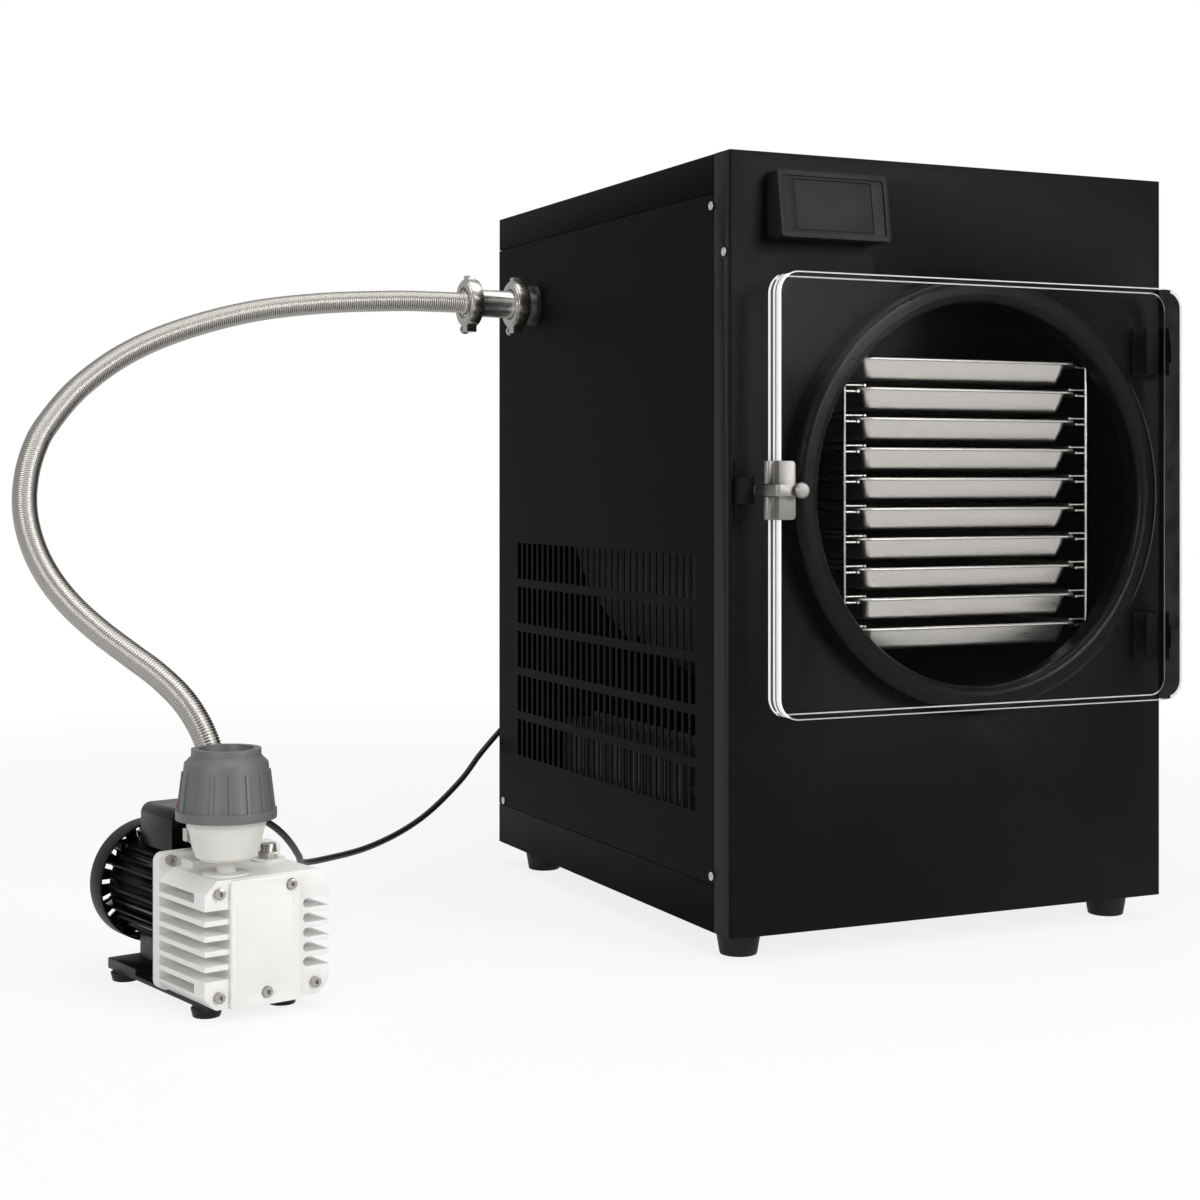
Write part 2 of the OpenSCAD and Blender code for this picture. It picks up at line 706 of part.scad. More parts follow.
module tray_rack() color("#c4c2bc") in_cabinet() translate([chamber_x, 0, 0]) {
    reach = sqrt(pow(chamber_r, 2) - pow(rod_x + rod_r, 2)) - 0.1;
    // upright wires that stand on the chamber's wall
    for (s = [-1, 1], y = [rack_front, rack_back])
        translate([s * rod_x, y, door_z - reach]) rotate([0, 0, 17])
            cylinder(r = rod_r, h = 2 * reach - 0.2);
    for (z = tray_z, s = [-1, 1]) {
        wire_z = z - runner_drop;
        translate([s * runner_x, rack_front - 3, wire_z]) backwards() rotate([0, 0, 17])
            cylinder(r = runner_r, h = rack_back - rack_front + 5);
        for (y = [rack_front, rack_back])
            translate([s * (rod_x + runner_x) / 2, y, wire_z]) rightwards() rotate([0, 0, 17])
                cylinder(r = runner_r - 0.2, h = rod_x - runner_x, center = true);
    }
    // thinner wires over the rims of all but the top tray
    for (n = [0 : tray_count - 2], s = [-1, 1]) {
        translate([s * guide_x, rack_front - 2.5, tray_z[n] + 2.1]) backwards() rotate([0, 0, 17])
            cylinder(r = runner_r - 0.2, h = rack_back - rack_front + 5);
        for (y = [rack_front, rack_back])
            translate([s * (rod_x + guide_x) / 2, y, tray_z[n] + 2.1]) rightwards() rotate([0, 0, 17])
                cylinder(r = runner_r - 0.4, h = rod_x - guide_x, center = true);
    }
    // ties behind the trays
    for (z = [-110, 0, 100]) translate([0, rack_back, door_z + z]) rightwards()
        cylinder(r = rod_r - 0.2, h = 2 * rod_x, center = true);
}

mat_w = tray_w - 2 * tray_rim - 2 * tray_lean - 20;
strap_t = 0.8;
strap_w = 14;

// Heater mats under the trays, each on two straps welded to the runner wires
module shelf_heaters() color("#17181a") in_cabinet()
    for (z = tray_z) {
        low = z - tray_depth - 0.3;
        wire_z = z - runner_drop;
        inner = tray_w / 2 - tray_rim + 0.4;
        translate([chamber_x - mat_w / 2, tray_front + 40, low - mat_t]) cube([mat_w, tray_l - 80, mat_t]);
        for (y = [tray_front + 90, tray_front + tray_l - 90 - strap_w])
            translate([chamber_x, y + strap_w, 0]) rotate([90, 0, 0]) linear_extrude(strap_w)
                for (s = [-1, 1]) mirror([s < 0 ? 1 : 0, 0]) polygon([
                    [mat_w / 2 - 4, low], [inner - tray_lean + 0.6, low], [inner + 0.4, wire_z - 1.6],
                    [inner + 0.4, wire_z + 0.8], [runner_x - runner_r, wire_z + 0.8],
                    [runner_x - runner_r, wire_z - 0.6], [inner + strap_t + 0.6, wire_z - 2],
                    [inner - tray_lean + 2, low - strap_t], [mat_w / 2 - 4, low - strap_t]]);
    }

// ---- cooling machine in the base ----
pan_top = floor_z + 2;
comp_x = 110;
comp_y = 330;
comp_z = pan_top + 14;
drier_x = -100;
drier_z = pan_top + 60;

module compressor() color("#101112") in_cabinet() translate([comp_x, comp_y, pan_top]) {
    lift = comp_z - pan_top;
    // welded shell with a seam band, standing on a foot plate with rubber mounts
    translate([0, 0, lift]) {
        rotate_extrude() {
            square([comp_r - 14, comp_h]);
            translate([0, 14]) square([comp_r, comp_h - 28]);
            for (z = [14, comp_h - 14]) translate([comp_r - 14, z]) circle(14);
            translate([0, comp_h * 0.55]) square([comp_r + 4, 5]);
        }
        translate([-comp_r - 10, -comp_r - 4, 0]) cube([2 * comp_r + 20, 2 * comp_r + 8, 3]);
        translate([-comp_r - 22, -24, 60]) cube([24, 48, 44]);
    }
    for (x = [-1, 1], y = [-1, 1]) translate([x * (comp_r + 1), y * (comp_r - 5), 0]) {
        cylinder(r = 9, h = lift);
        cylinder(r = 3, h = lift + 8);
    }
}

cond_x = -side_x + 2 * sheet_t + 3;
cond_y = 110;
cond_z = pan_top;
fan_y = cond_y + cond_l / 2;
fan_z = cond_z + cond_h / 2 + 3;
shroud_t = 4;
shroud_x = cond_x + cond_t;
fan_x = shroud_x + shroud_t + 8;

module condenser() color("#8b8d90") in_cabinet() translate([cond_x, cond_y, cond_z]) {
    // end plates, fin packs and the tube rows that tie them together
    for (y = [0, cond_l - 3]) translate([0, y, 0]) cube([cond_t, 3, cond_h]);
    for (i = [0 : 23]) translate([2, 10 + i * (cond_l - 24) / 23, 3]) cube([cond_t - 4, 3.5, cond_h - 6]);
    for (k = [0 : 5], x = [0.28, 0.72])
        translate([cond_t * x, -6, 14 + k * (cond_h - 28) / 5]) backwards()
            cylinder(r = 4, h = cond_l + 12);
}

module fan_shroud() color("#2a2b2d") in_cabinet() translate([shroud_x, cond_y, cond_z]) difference() {
    union() {
        cube([shroud_t, cond_l, cond_h + 6]);
        translate([0, fan_y - cond_y, fan_z - cond_z]) rightwards() cylinder(r = fan_r + 5, h = 30);
    }
    translate([-over, fan_y - cond_y, fan_z - cond_z]) rightwards()
        cylinder(r = fan_r + 2.5, h = 40);
}

motor_face_x = fan_x + 30;
fan_shaft_r = 3;

module fan_motor() color("#3b3d40") in_cabinet() translate([motor_face_x, fan_y, fan_z]) {
    rightwards() difference() {
        union() {
            cylinder(r = 34, h = 44);
            translate([0, 0, 44]) cylinder(r = 26, h = 4);
        }
        translate([0, 0, -over]) cylinder(r = fan_shaft_r + 0.05, h = 30);
    }
    // three arms to the shroud's rim
    for (a = [90, 210, 330]) rotate([a, 0, 0]) {
        translate([2, -6, 32]) cube([3, 12, fan_r + 5 - 32]);
        translate([shroud_x + 30 - motor_face_x, -6, fan_r + 2.7])
            cube([motor_face_x - shroud_x - 25, 12, 2.2]);
    }
}

module fan_blade() color("#c8cacc") in_cabinet() translate([fan_x, fan_y, fan_z]) {
    rightwards() cylinder(r = fan_shaft_r, h = 56);
    rightwards() cylinder(r = 18, h = 16);
    for (a = [0 : 72 : 359]) rotate([a, 0, 0]) translate([8, 0, 14]) rotate([0, 0, 32])
        translate([-1, -15, 0]) cube([2, 30, fan_r - 16]);
}

psu_w = 160;
psu_d = 46;
psu_h = 110;

module power_supply() color("#9a9c9e") in_cabinet() {
    translate([60, cab_d - sheet_t - psu_d, roof_z - psu_h - 94]) difference() {
        cube([psu_w, psu_d, psu_h]);
        for (i = [0 : 9]) translate([14 + i * 14, -over, 20]) cube([6, 3, psu_h - 40]);
    }
}

// A round-cornered inlet or outlet for a mains plug, standing in the rear panel
module socket_body() difference() {
    union() {
        translate([0, -16, 0]) backwards() linear_extrude(16)
            square([socket_w - 7, socket_h - 5], center = true);
        backwards() linear_extrude(socket_out) round_rect(socket_w, socket_h, 3);
    }
    translate([0, -13, 0]) backwards() linear_extrude(20) round_rect(25, 17, 3);
}

module power_sockets() color("#161616") in_cabinet() {
    for (c = [[inlet_x, inlet_z], [socket_x, socket_z]])
        translate([c[0], cab_d, c[1]]) {
            socket_body();
            for (x = [-7, 0, 7]) translate([x, -13.5, x == 0 ? 3 : -2]) backwards()
                translate([0, 0, 4]) cube([2, 4, 8], center = true);
        }
    // frame of the rocker switch
    translate([inlet_x - switch_dx, cab_d, inlet_z]) difference() {
        backwards() linear_extrude(socket_out - 1) round_rect(22, 28, 2);
        cube([15, 20, 21], center = true);
    }
    translate([inlet_x - switch_dx, cab_d - 14, inlet_z]) difference() {
        backwards() linear_extrude(14) square([17.6, 23.6], center = true);
        translate([0, 8, 0]) cube([15, 14, 21], center = true);
    }
}

rocker_out = 3;

// A rocker key on its cross pin, pressed in at one end: x across, y out of the panel
module rocker(w, l) {
    rotate([8, 0, 0]) rotate([0, 90, 0]) linear_extrude(w, center = true) intersection() {
        circle(l / 2);
        translate([-l / 2, -6]) square([l, 6 + rocker_out]);
    }
}

module mains_switch() color("#101010") in_cabinet()
    translate([inlet_x - switch_dx, cab_d, inlet_z]) rocker(14, 19);

// ---- vacuum line ----
joint_a = -side_x - 22;                     // middle of the joint at the cabinet
nipple_l = 58;
joint_b = joint_a - nipple_l;               // middle of the joint at the hose
kf_t = 3;
kf_gap = 0.4;
sleeve_l = 9;
hose_start = joint_b - sleeve_l;
pump_in = [-6, 85];                         // inlet port on top of the pump
pump_joint_z = 150;                         // middle of the joint over it
neck_r = 12;

// A flange on the line, its face at x and its thickness towards dir
module line_flange(x, dir) translate([dir > 0 ? x : x - kf_t, 0, 0]) rightwards()
    cylinder(r = kf_flange_r, h = kf_t);

module on_port() in_cabinet() translate([0, port_y, port_abs_z]) children();
module on_inlet() in_pump() translate([pump_in[0], pump_in[1], pump_joint_z]) children();

module vacuum_port() color("#77787a") difference() {
    face = joint_a + kf_gap / 2;
    stub_low = door_z + port_chord - 8;
    union() {
        in_cabinet() translate([port_stub_x, port_y, stub_low])
            cylinder(r = port_r, h = port_abs_z - stub_low);
        on_port() translate([face, 0, 0]) rightwards() cylinder(r = port_r - 0.6, h = port_stub_x - face);
        on_port() translate([port_stub_x, 0, 0]) sphere(r = port_r + 1);
        on_port() line_flange(face, 1);
    }
    in_cabinet() translate([port_stub_x, port_y, door_z])
        cylinder(r = port_r - port_wall, h = port_abs_z - door_z);
    on_port() translate([face - over, 0, 0]) rightwards()
        cylinder(r = port_r - port_wall - 1.5, h = port_stub_x - face + over);
    in_cabinet() translate([chamber_x, port_y - 60, door_z]) backwards()
        cylinder(r = chamber_out_r, h = 120, $fn = 180);
}

module port_grommet() color("#0f0f0f") on_port() translate([-side_x, 0, 0]) difference() {
    union() {
        translate([-4, 0, 0]) rightwards() cylinder(r1 = grommet_r - 2, r2 = grommet_r, h = 4);
        translate([-over / 2, 0, 0]) rightwards() cylinder(r = grommet_r - 3.1, h = 2 * sheet_t + 2);
    }
    translate([-10, 0, 0]) rightwards() cylinder(r = port_r - 0.5, h = 30);
}

// Clamp ring with a hinge lug above and a wing screw below, about the line's axis
module kf_clamp() {
    difference() {
        union() {
            cylinder(r = clamp_r - 1.5, h = clamp_w, center = true);
            cylinder(r = clamp_r, h = clamp_w - 3, center = true);
            translate([0, clamp_r, 0]) cube([9, 8, clamp_w - 5], center = true);
            translate([0, -clamp_r - 1, 0]) cube([14, 10, clamp_w - 4], center = true);
        }
        cylinder(r = kf_flange_r + 0.3, h = 2 * kf_t + kf_gap + 0.2, center = true);
        cylinder(r = port_r + 2.2, h = clamp_w + 2, center = true);
    }
    translate([6, -clamp_r - 2, 0]) rightwards() cylinder(r = 2.2, h = 8);
    translate([13, -clamp_r - 2, 0]) rightwards() cylinder(r = 5.5, h = 5);
}

module kf_clamps() color("#c9c6c0") {
    on_port() for (x = [joint_a, joint_b]) translate([x, 0, 0]) rotate([90, 0, 90]) kf_clamp();
    on_inlet() rotate([0, 0, 90]) kf_clamp();
}

module hose_fittings() color("#c9c6c0") {
    on_port() port_fittings();
    // the hose's lower end over the pump's inlet
    on_inlet() difference() {
        union() {
            translate([0, 0, kf_gap / 2]) cylinder(r = kf_flange_r, h = kf_t);
            translate([0, 0, kf_gap / 2]) cylinder(r = hose_d / 2 + 1.2, h = sleeve_l - kf_gap / 2);
        }
        translate([0, 0, -over]) cylinder(r = 9, h = sleeve_l + 2 * over);
    }
}

module port_fittings() {
    right = joint_a - kf_gap / 2;
    left = joint_b + kf_gap / 2;
    face = joint_b - kf_gap / 2;
    // short nipple between the clamps
    difference() {
        union() {
            line_flange(right, -1);
            line_flange(left, 1);
            translate([left, 0, 0]) rightwards() cylinder(r = port_r, h = right - left);
        }
        translate([left - over, 0, 0]) rightwards()
            cylinder(r = port_r - port_wall, h = nipple_l + 2 * over);
    }
    // end of the hose
    difference() {
        union() {
            line_flange(face, -1);
            translate([hose_start, 0, 0]) rightwards()
                cylinder(r = hose_d / 2 + 1.2, h = face - hose_start);
        }
        translate([hose_start - over, 0, 0]) rightwards() cylinder(r = 9, h = 20);
    }
}

// ---- free hose and lead: tubes swept along their own points ----
// A point on the smooth curve through the list p, at i plus a part t of the way to the next
function curve(p, i, t) =
    let (n = len(p) - 1, a = p[max(i - 1, 0)], b = p[i], c = p[min(i + 1, n)], d = p[min(i + 2, n)])
    b + 0.5 * t * ((c - a) + t * ((2 * a - 5 * b + 4 * c - d) + t * (3 * (b - c) + d - a)));
function smooth(p, steps) = concat(
    [for (i = [0 : len(p) - 2], k = [0 : steps - 1]) curve(p, i, k / steps)], [p[len(p) - 1]]);
function unit(v) = v / norm(v);
function heading(p, i) = unit(p[min(i + 1, len(p) - 1)] - p[max(i - 1, 0)]);

// Tube of radius r through the points, with the given number of sides
module tube(points, r, sides, ref) {
    n = len(points);
    ring = [for (i = [0 : n - 1])
        let (t = heading(points, i), u = unit(cross(t, ref)), v = cross(t, u))
        for (k = [0 : sides - 1]) points[i] + r * (cos(360 * k / sides) * u + sin(360 * k / sides) * v)];
    polyhedron(ring, concat(
        [[for (k = [0 : sides - 1]) k]],
        [for (i = [0 : n - 2], k = [0 : sides - 1])
            let (a = i * sides + k, b = i * sides + (k + 1) % sides) [a, a + sides, b]],
        [for (i = [0 : n - 2], k = [0 : sides - 1])
            let (a = i * sides + k, b = i * sides + (k + 1) % sides) [b, a + sides, b + sides]],
        [[for (k = [sides - 1 : -1 : 0]) (n - 1) * sides + k]]));
}

hose_route = [
    [-349, 487, 673], [-390, 487, 673], [-435, 487, 672], [-519, 484, 666], [-603, 474, 653],
    [-685, 452, 629], [-750, 424, 600], [-805, 388, 562], [-843.3, 349.7, 522.7],
    [-860, 325.2, 497.6], [-871.2, 301.7, 468.8], [-875.8, 279.3, 437.7], [-872.4, 256.8, 406.5],
    [-862.1, 233.4, 377.4], [-845.8, 209.6, 351.5], [-824.6, 186.4, 328.6], [-801, 163.4, 307.8],
    [-778.1, 139.2, 287.8], [-758.4, 116.4, 263.8], [-744.3, 99.8, 232.7], [-736.4, 91.5, 195.9],
    [-736.4, 91.5, 177], [-736.4, 91.5, 159]];

module vacuum_hose() color("#a5a39d") in_cabinet()
    tube(smooth(hose_route, 2), hose_d / 2, 12, [0.5, 0.6, -0.62]);

lead_route = [
    [-717, 203, 142], [-700, 207, 142], [-682, 211, 141], [-664, 217, 138], [-648, 226, 129],
    [-632, 241, 116], [-617, 262, 101], [-600, 296, 83], [-581, 345, 67], [-535, 400, 59],
    [-477, 455, 56], [-419, 505, 62], [-366, 550, 76], [-313, 588, 104], [-282, 608, 129],
    [-260, 618, 147], [-241, 625, 162], [-223, 626, 176], [-208, 621.5, 188], [-199.5, 616.5, 198],
    [-195.6, 613.4, 206], [-195, 613, 214], [-195, 613, 222], [-195, 613, 229]];

module pump_lead() color("#0c0c0c") in_cabinet()
    tube(smooth(lead_route, 3), lead_d / 2, 8, [0.3, -0.9, 0.3]);

// Right-angle plug in the pump's socket, its tapered strain relief below
module lead_plug() color("#0e0e0e") in_cabinet() translate([socket_x, cab_d + socket_out, socket_z]) {
    backwards() linear_extrude(27) round_rect(29, 21, 4);
    translate([0, -8, 0]) backwards() linear_extrude(9) round_rect(24, 16, 3);
    translate([0, 16, -10 - 28]) difference() {
        cylinder(r1 = lead_d / 2 + 1.2, r2 = 7.5, h = 29);
        translate([0, 0, -over]) cylinder(r = lead_d / 2 + 0.05, h = 16 + over);
    }
}

// ---- door ----
module door_panel() color("#dfe4e6", 0.35) in_cabinet()
    translate([door_mid, door_rear, door_z]) rotate([90, 0, 0]) linear_extrude(door_t)
        round_rect(door_w, door_h, door_r);

hinge_z = [door_z - hinge_offset, door_z + hinge_offset];
outer_knuckle = 12;
hinge_half = knuckle_len / 2 + knuckle_gap + outer_knuckle;
leaf_t = 3;
leaf_w = 26;

module hinge_brackets() color("#151515") in_cabinet() for (z = hinge_z) translate([0, 0, z]) {
    translate([door_right - leaf_w, -leaf_t, -hinge_half]) cube([leaf_w + 2, leaf_t, 2 * hinge_half]);
    for (s = [0, 1]) mirror([0, 0, s]) translate([hinge_x, hinge_y, knuckle_len / 2 + knuckle_gap]) {
        cylinder(r = knuckle_r, h = outer_knuckle);
        translate([-8, 0, 0]) cube([8, door_gap / 2, outer_knuckle]);
    }
    translate([hinge_x, hinge_y, -hinge_half]) cylinder(r = hinge_pin_r, h = 2 * hinge_half);
    translate([hinge_x, hinge_y, hinge_half]) cylinder(r = hinge_pin_r + 1.2, h = 1.5);
}

module hinge_leaves() color("#151515") in_cabinet() for (z = hinge_z) translate([0, 0, z]) difference() {
    union() {
        translate([door_right - leaf_w, door_rear, -hinge_half]) cube([leaf_w, leaf_t, 2 * hinge_half]);
        translate([hinge_x, hinge_y, -knuckle_len / 2]) cylinder(r = knuckle_r, h = knuckle_len);
        translate([hinge_x - 8, door_rear, -knuckle_len / 2]) cube([8, door_gap / 2, knuckle_len]);
    }
    translate([hinge_x, hinge_y, -knuckle_len]) cylinder(r = hinge_pin_r + pin_clear, h = 2 * knuckle_len);
}

// ---- latch on the door's left edge ----
latch_z = door_z + latch_up;
latch_t = 2;
latch_x = door_left - latch_t - latch_knuckle_r;
latch_y = door_front + 12;
latch_plate_w = 16;
lever_t = 2.5;
lever_gap = 0.4;
lever_front = 20;                           // lever's inner face, in front of the pin
lever_reach = 21.5;                         // knob's distance to the right of the pin
lever_bend = 5;
tail_h = 8;
tail_hook_y = 20.5;                         // hook's front face behind the pin
tail_hook = 5.5;                            // reach of the hook to the left of the pin
keeper_gap = 0.7;                           // between the hook and the keeper's lip
keeper_t = 2;

module latch_plate() color("#b5b1ab") in_cabinet() translate([0, 0, latch_z]) {
    // strip on the door's front, with its outer corners rounded
    translate([door_left - latch_t, door_front, 0]) rotate([90, 0, 0]) linear_extrude(latch_t) {
        translate([0, -latch_h / 2]) square([latch_plate_w + latch_t - 4, latch_h]);
        translate([0, -latch_h / 2 + 4]) square([latch_plate_w + latch_t, latch_h - 8]);
        for (s = [-1, 1]) translate([latch_plate_w + latch_t - 4, s * (latch_h / 2 - 4)]) circle(4);
    }
    // flank along the door's edge
    translate([door_left - latch_t, door_front, -latch_h / 2]) cube([latch_t, door_t + 4, latch_h]);
    knuckle_h = latch_h / 2 - lever_h / 2 - lever_gap;
    for (s = [0, 1]) mirror([0, 0, s]) translate([latch_x, latch_y, lever_h / 2 + lever_gap]) {
        cylinder(r = latch_knuckle_r, h = knuckle_h);
        translate([0, -latch_knuckle_r, 0]) cube([latch_knuckle_r + 0.5, 2 * latch_knuckle_r, knuckle_h]);
    }
    translate([latch_x, latch_y, -latch_h / 2]) cylinder(r = latch_pin_r, h = latch_h);
}

module latch_lever() color("#c2bfb9") in_cabinet() translate([latch_x, latch_y, latch_z]) {
    difference() {
        union() {
            translate([0, 0, -lever_h / 2]) linear_extrude(lever_h) {
                circle(latch_knuckle_r);
                translate([-latch_knuckle_r, -lever_front - lever_t + lever_bend])
                    square([lever_t, lever_front + lever_t - lever_bend]);
                translate([-latch_knuckle_r + lever_bend, -lever_front - lever_t])
                    square([lever_reach + latch_knuckle_r - lever_bend + 3, lever_t]);
                translate([-latch_knuckle_r + lever_bend, -lever_front - lever_t + lever_bend])
                    intersection() {
                        difference() {
                            circle(lever_bend);
                            circle(lever_bend - lever_t);
                        }
                        translate([-lever_bend, -lever_bend]) square(lever_bend);
                    }
            }
            // tail with its hook
            translate([-2.5, 0, -tail_h / 2]) cube([5, tail_hook_y + 4, tail_h]);
            translate([-tail_hook, tail_hook_y, -tail_h / 2]) cube([tail_hook, 4, tail_h]);
        }
        translate([0, 0, -lever_h]) cylinder(r = latch_pin_r + pin_clear, h = 2 * lever_h);
    }
    // knob on the lever's front
    translate([lever_reach, -lever_front - lever_t + 0.5, 0]) rotate([90, 0, 0]) {
        cylinder(r = latch_knob_r - 2, h = 2);
        translate([0, 0, 1.5]) cylinder(r = latch_knob_r, h = 4.5);
        translate([0, 0, 6]) cylinder(r1 = latch_knob_r, r2 = latch_knob_r - 1.5, h = 1.5);
    }
}

module latch_keeper() color("#1a1a1a") in_cabinet() translate([0, 0, latch_z]) {
    lip_tip = latch_x - tail_hook - keeper_gap;
    lip_back = latch_y + tail_hook_y - 2.5;
    web_x = lip_tip - 9.8;
    translate([web_x, -keeper_t, -latch_h / 2]) cube([14, keeper_t, latch_h]);
    translate([web_x, lip_back - keeper_t, -tail_h * 1.6]) {
        cube([keeper_t, -lip_back + keeper_t, tail_h * 3.2]);
        cube([lip_tip - web_x, keeper_t, tail_h * 3.2]);
    }
}

// ---- pump ----
block_top = pump_low + block_h;
half_w = pump_w / 2;
flange_back = block_d + rear_flange_t;
fin_pitch = 13;
groove_h = 8.5;
groove_in = fin_out + 7;
plate_x = -4;
plate_t = 4;
base_x = -6;
foot_span = 37;

module pump_base() color("#101010") in_pump() {
    plate_back = flange_back + motor_l - 6;
    translate([base_x - foot_span - 8, 14, 8]) cube([2 * foot_span + 16, plate_back - 14, pump_low - 8]);
    for (x = [base_x - foot_span, base_x + foot_span], y = [32, plate_back - 22])
        translate([x, y, 0]) cylinder(r1 = 12, r2 = 14, h = 8);
    // raised pad and cradle under the motor
    difference() {
        union() {
            translate([base_x - foot_span - 8, plate_back - 60, pump_low - 1])
                cube([2 * foot_span + 16, 60, 7]);
            translate([-24, plate_back - 52, pump_low]) cube([48, 40, motor_z - motor_r * 0.8 - pump_low]);
        }
        translate([0, flange_back - over, motor_z]) backwards() cylinder(r = motor_r + 0.2, h = motor_l);
    }
}

module front_face_outline() polygon([
    [-half_w + 11, pump_low], [half_w - 11, pump_low], [half_w, pump_low + 11],
    [half_w, block_top - 12], [half_w - 12, block_top], [-half_w + 12, block_top],
    [-half_w, block_top - 12], [-half_w, pump_low + 11]]);

module pump_block() color("#e6e5e1") in_pump() difference() {
    union() {
        // finned casting
        difference() {
            translate([0, block_d, 0]) rotate([90, 0, 0]) linear_extrude(block_d) front_face_outline();
            for (s = [-1, 1], i = [0 : fin_count - 1]) {
                z = (pump_low + block_top) / 2 + (i - (fin_count - 1) / 2) * fin_pitch;
                start = i == 0 || i == fin_count - 1 ? 20 : -over;
                translate([s * (half_w - groove_in), start, z]) backwards()
                    cylinder(r = groove_h / 2, h = block_d - start - 0.5);
                translate([s > 0 ? half_w - groove_in : -half_w - over, start, z - groove_h / 2])
                    cube([groove_in + over, block_d - start - 0.5, groove_h]);
            }
        }
        // rear flange with bosses for its bolts
        translate([0, flange_back, pump_low + 1 + rear_flange_h / 2]) rotate([90, 0, 0])
            linear_extrude(rear_flange_t) round_rect(pump_w, rear_flange_h, 8);
        // raised pads on top for the filter and the fittings
        translate([filter_x, filter_y, block_top - 1]) cylinder(r = 20, h = 2.5);
        translate([34, block_d - 26, block_top - 1]) cylinder(r = 15, h = 3);
        translate([-40, block_d - 24, block_top - 1]) cube([30, 24, 7]);
    }
    // bearing for the shaft, threads and a vent hole
    translate([0, block_d - 30, motor_z]) backwards() cylinder(r = shaft_r + pin_clear, h = 60);
    translate([0, flange_back - 3, motor_z]) backwards() cylinder(r = motor_r - 6, h = 10);
    for (b = ear_bolts) translate([b[0], -over, b[1]]) backwards() cylinder(r = 3, h = 14);
    for (b = flange_bolts) translate([b[0], block_d - 0.2 - over, b[1]]) backwards() cylinder(r = 3, h = 9);
    translate([0, 16, block_top - 3]) cylinder(r = 2.5, h = 10);
    translate([34, block_d - 26, block_top - 10]) cylinder(r = 6, h = 20);
    translate([filter_x, filter_y, block_top - 8]) cylinder(r = 6.2, h = 20);
    translate([pump_in[0], pump_in[1], block_top - 6]) rotate([0, 0, 17])
        cylinder(r = neck_r + 0.05, h = 30);
}

ear_bolts = [[-48, 112], [-48, 23], [46, 23]];
flange_bolts = [[-50, 128.5], [50, 128.5]];
plate_bolts = [[21, 113], [-3, 22]];

module pump_front_plate() color("#ebeae6") in_pump() difference() {
    union() {
        translate([plate_x, 0, (pump_low + block_top) / 2 - 1]) rotate([90, 0, 0])
            linear_extrude(plate_t) round_rect(front_plate_w, block_h, 3);
        // plain raised panel
        translate([plate_x - 1, -plate_t, (pump_low + block_top) / 2]) rotate([90, 0, 0])
            linear_extrude(0.6) round_rect(54, block_h - 37, 2);
    }
    for (b = plate_bolts) translate([b[0], over, b[1]]) rotate([90, 0, 0]) {
        cylinder(r = 3.1, h = 20);
        translate([0, 0, plate_t - 1.5]) cylinder(r = 5.2, h = 10);
    }
}

module cap_bolt(len) {
    cylinder(r = 2.9, h = len);
    translate([0, 0, len]) difference() {
        cylinder(r = 4.8, h = 4);
        translate([0, 0, 1.5]) cylinder(r = 2.4, h = 4, $fn = 6);
    }
}

module pump_fittings() color("#a8a59f") in_pump() {
    for (b = ear_bolts) translate([b[0], 12, b[1]]) rotate([90, 0, 0]) cap_bolt(12);
    for (b = flange_bolts) translate([b[0], block_d + 7, b[1]]) rotate([90, 0, 0]) cap_bolt(7);
    for (b = plate_bolts) translate([b[0], -0.1, b[1]]) rotate([90, 0, 0]) cap_bolt(plate_t - 2.6);
    // brass filler fitting
    translate([34, block_d - 26, block_top - 8]) {
        cylinder(r = 5.9, h = 12);
        translate([0, 0, 10]) cylinder(r = 10, h = 6, $fn = 6);
        translate([0, 0, 16]) cylinder(r = 7, h = 7);
    }
    // neck and flange of the vacuum inlet
    top = pump_joint_z - kf_gap / 2;
    translate([pump_in[0], pump_in[1], 0]) difference() {
        union() {
            translate([0, 0, block_top - 5.9]) cylinder(r = neck_r, h = top - block_top + 5.9);
            translate([0, 0, top - kf_t]) cylinder(r = kf_flange_r, h = kf_t);
        }
        translate([0, 0, block_top]) cylinder(r = neck_r - 3, h = 60);
    }
}

// ---- pump motor ----
stator_front = 22;
stator_l = 70;
rotor_r = 26;

module motor_housing() color("#0d0d0d") in_pump() translate([0, flange_back, motor_z]) {
    backwards() difference() {
        cylinder(r = motor_r - 3.5, h = motor_l);
        translate([0, 0, -over]) cylinder(r = motor_r - 7, h = motor_l - 6 + over);
        cylinder(r = shaft_r + pin_clear, h = motor_l + over);
    }
    backwards() translate([0, 0, stator_front]) difference() {
        cylinder(r = motor_r - 6.5, h = stator_l);
        translate([0, 0, -over]) cylinder(r = rotor_r + 0.5, h = stator_l + 2 * over);
    }
    for (a = [0 : 12 : 359]) if (a < 60 || a > 120) rotate([0, -a, 0])
        translate([motor_r - 5, 0, -1.2]) cube([5, motor_l - 4, 2.4]);
    // lugs that carry the fan cowl
    for (a = [45 : 90 : 359]) rotate([0, a, 0])
        translate([motor_r - 6, motor_l - 10, -4]) cube([cowl_r - 2 - motor_r + 5.9, 10, 8]);
}

module motor_rotor() color("#8a8c90") in_pump() translate([0, flange_back, motor_z]) {
    backwards() rotate([0, 0, 17]) {
        translate([0, 0, -rear_flange_t - 24])
            cylinder(r = shaft_r, h = rear_flange_t + 24 + motor_l + cowl_l - 9);
        translate([0, 0, stator_front]) cylinder(r = rotor_r, h = stator_l);
        translate([0, 0, motor_l + 3]) cylinder(r = 15, h = 14);
    }
    for (i = [0 : 6]) rotate([0, i * 360 / 7, 0]) translate([11, motor_l + 4, -1]) cube([37, 12, 2]);
}

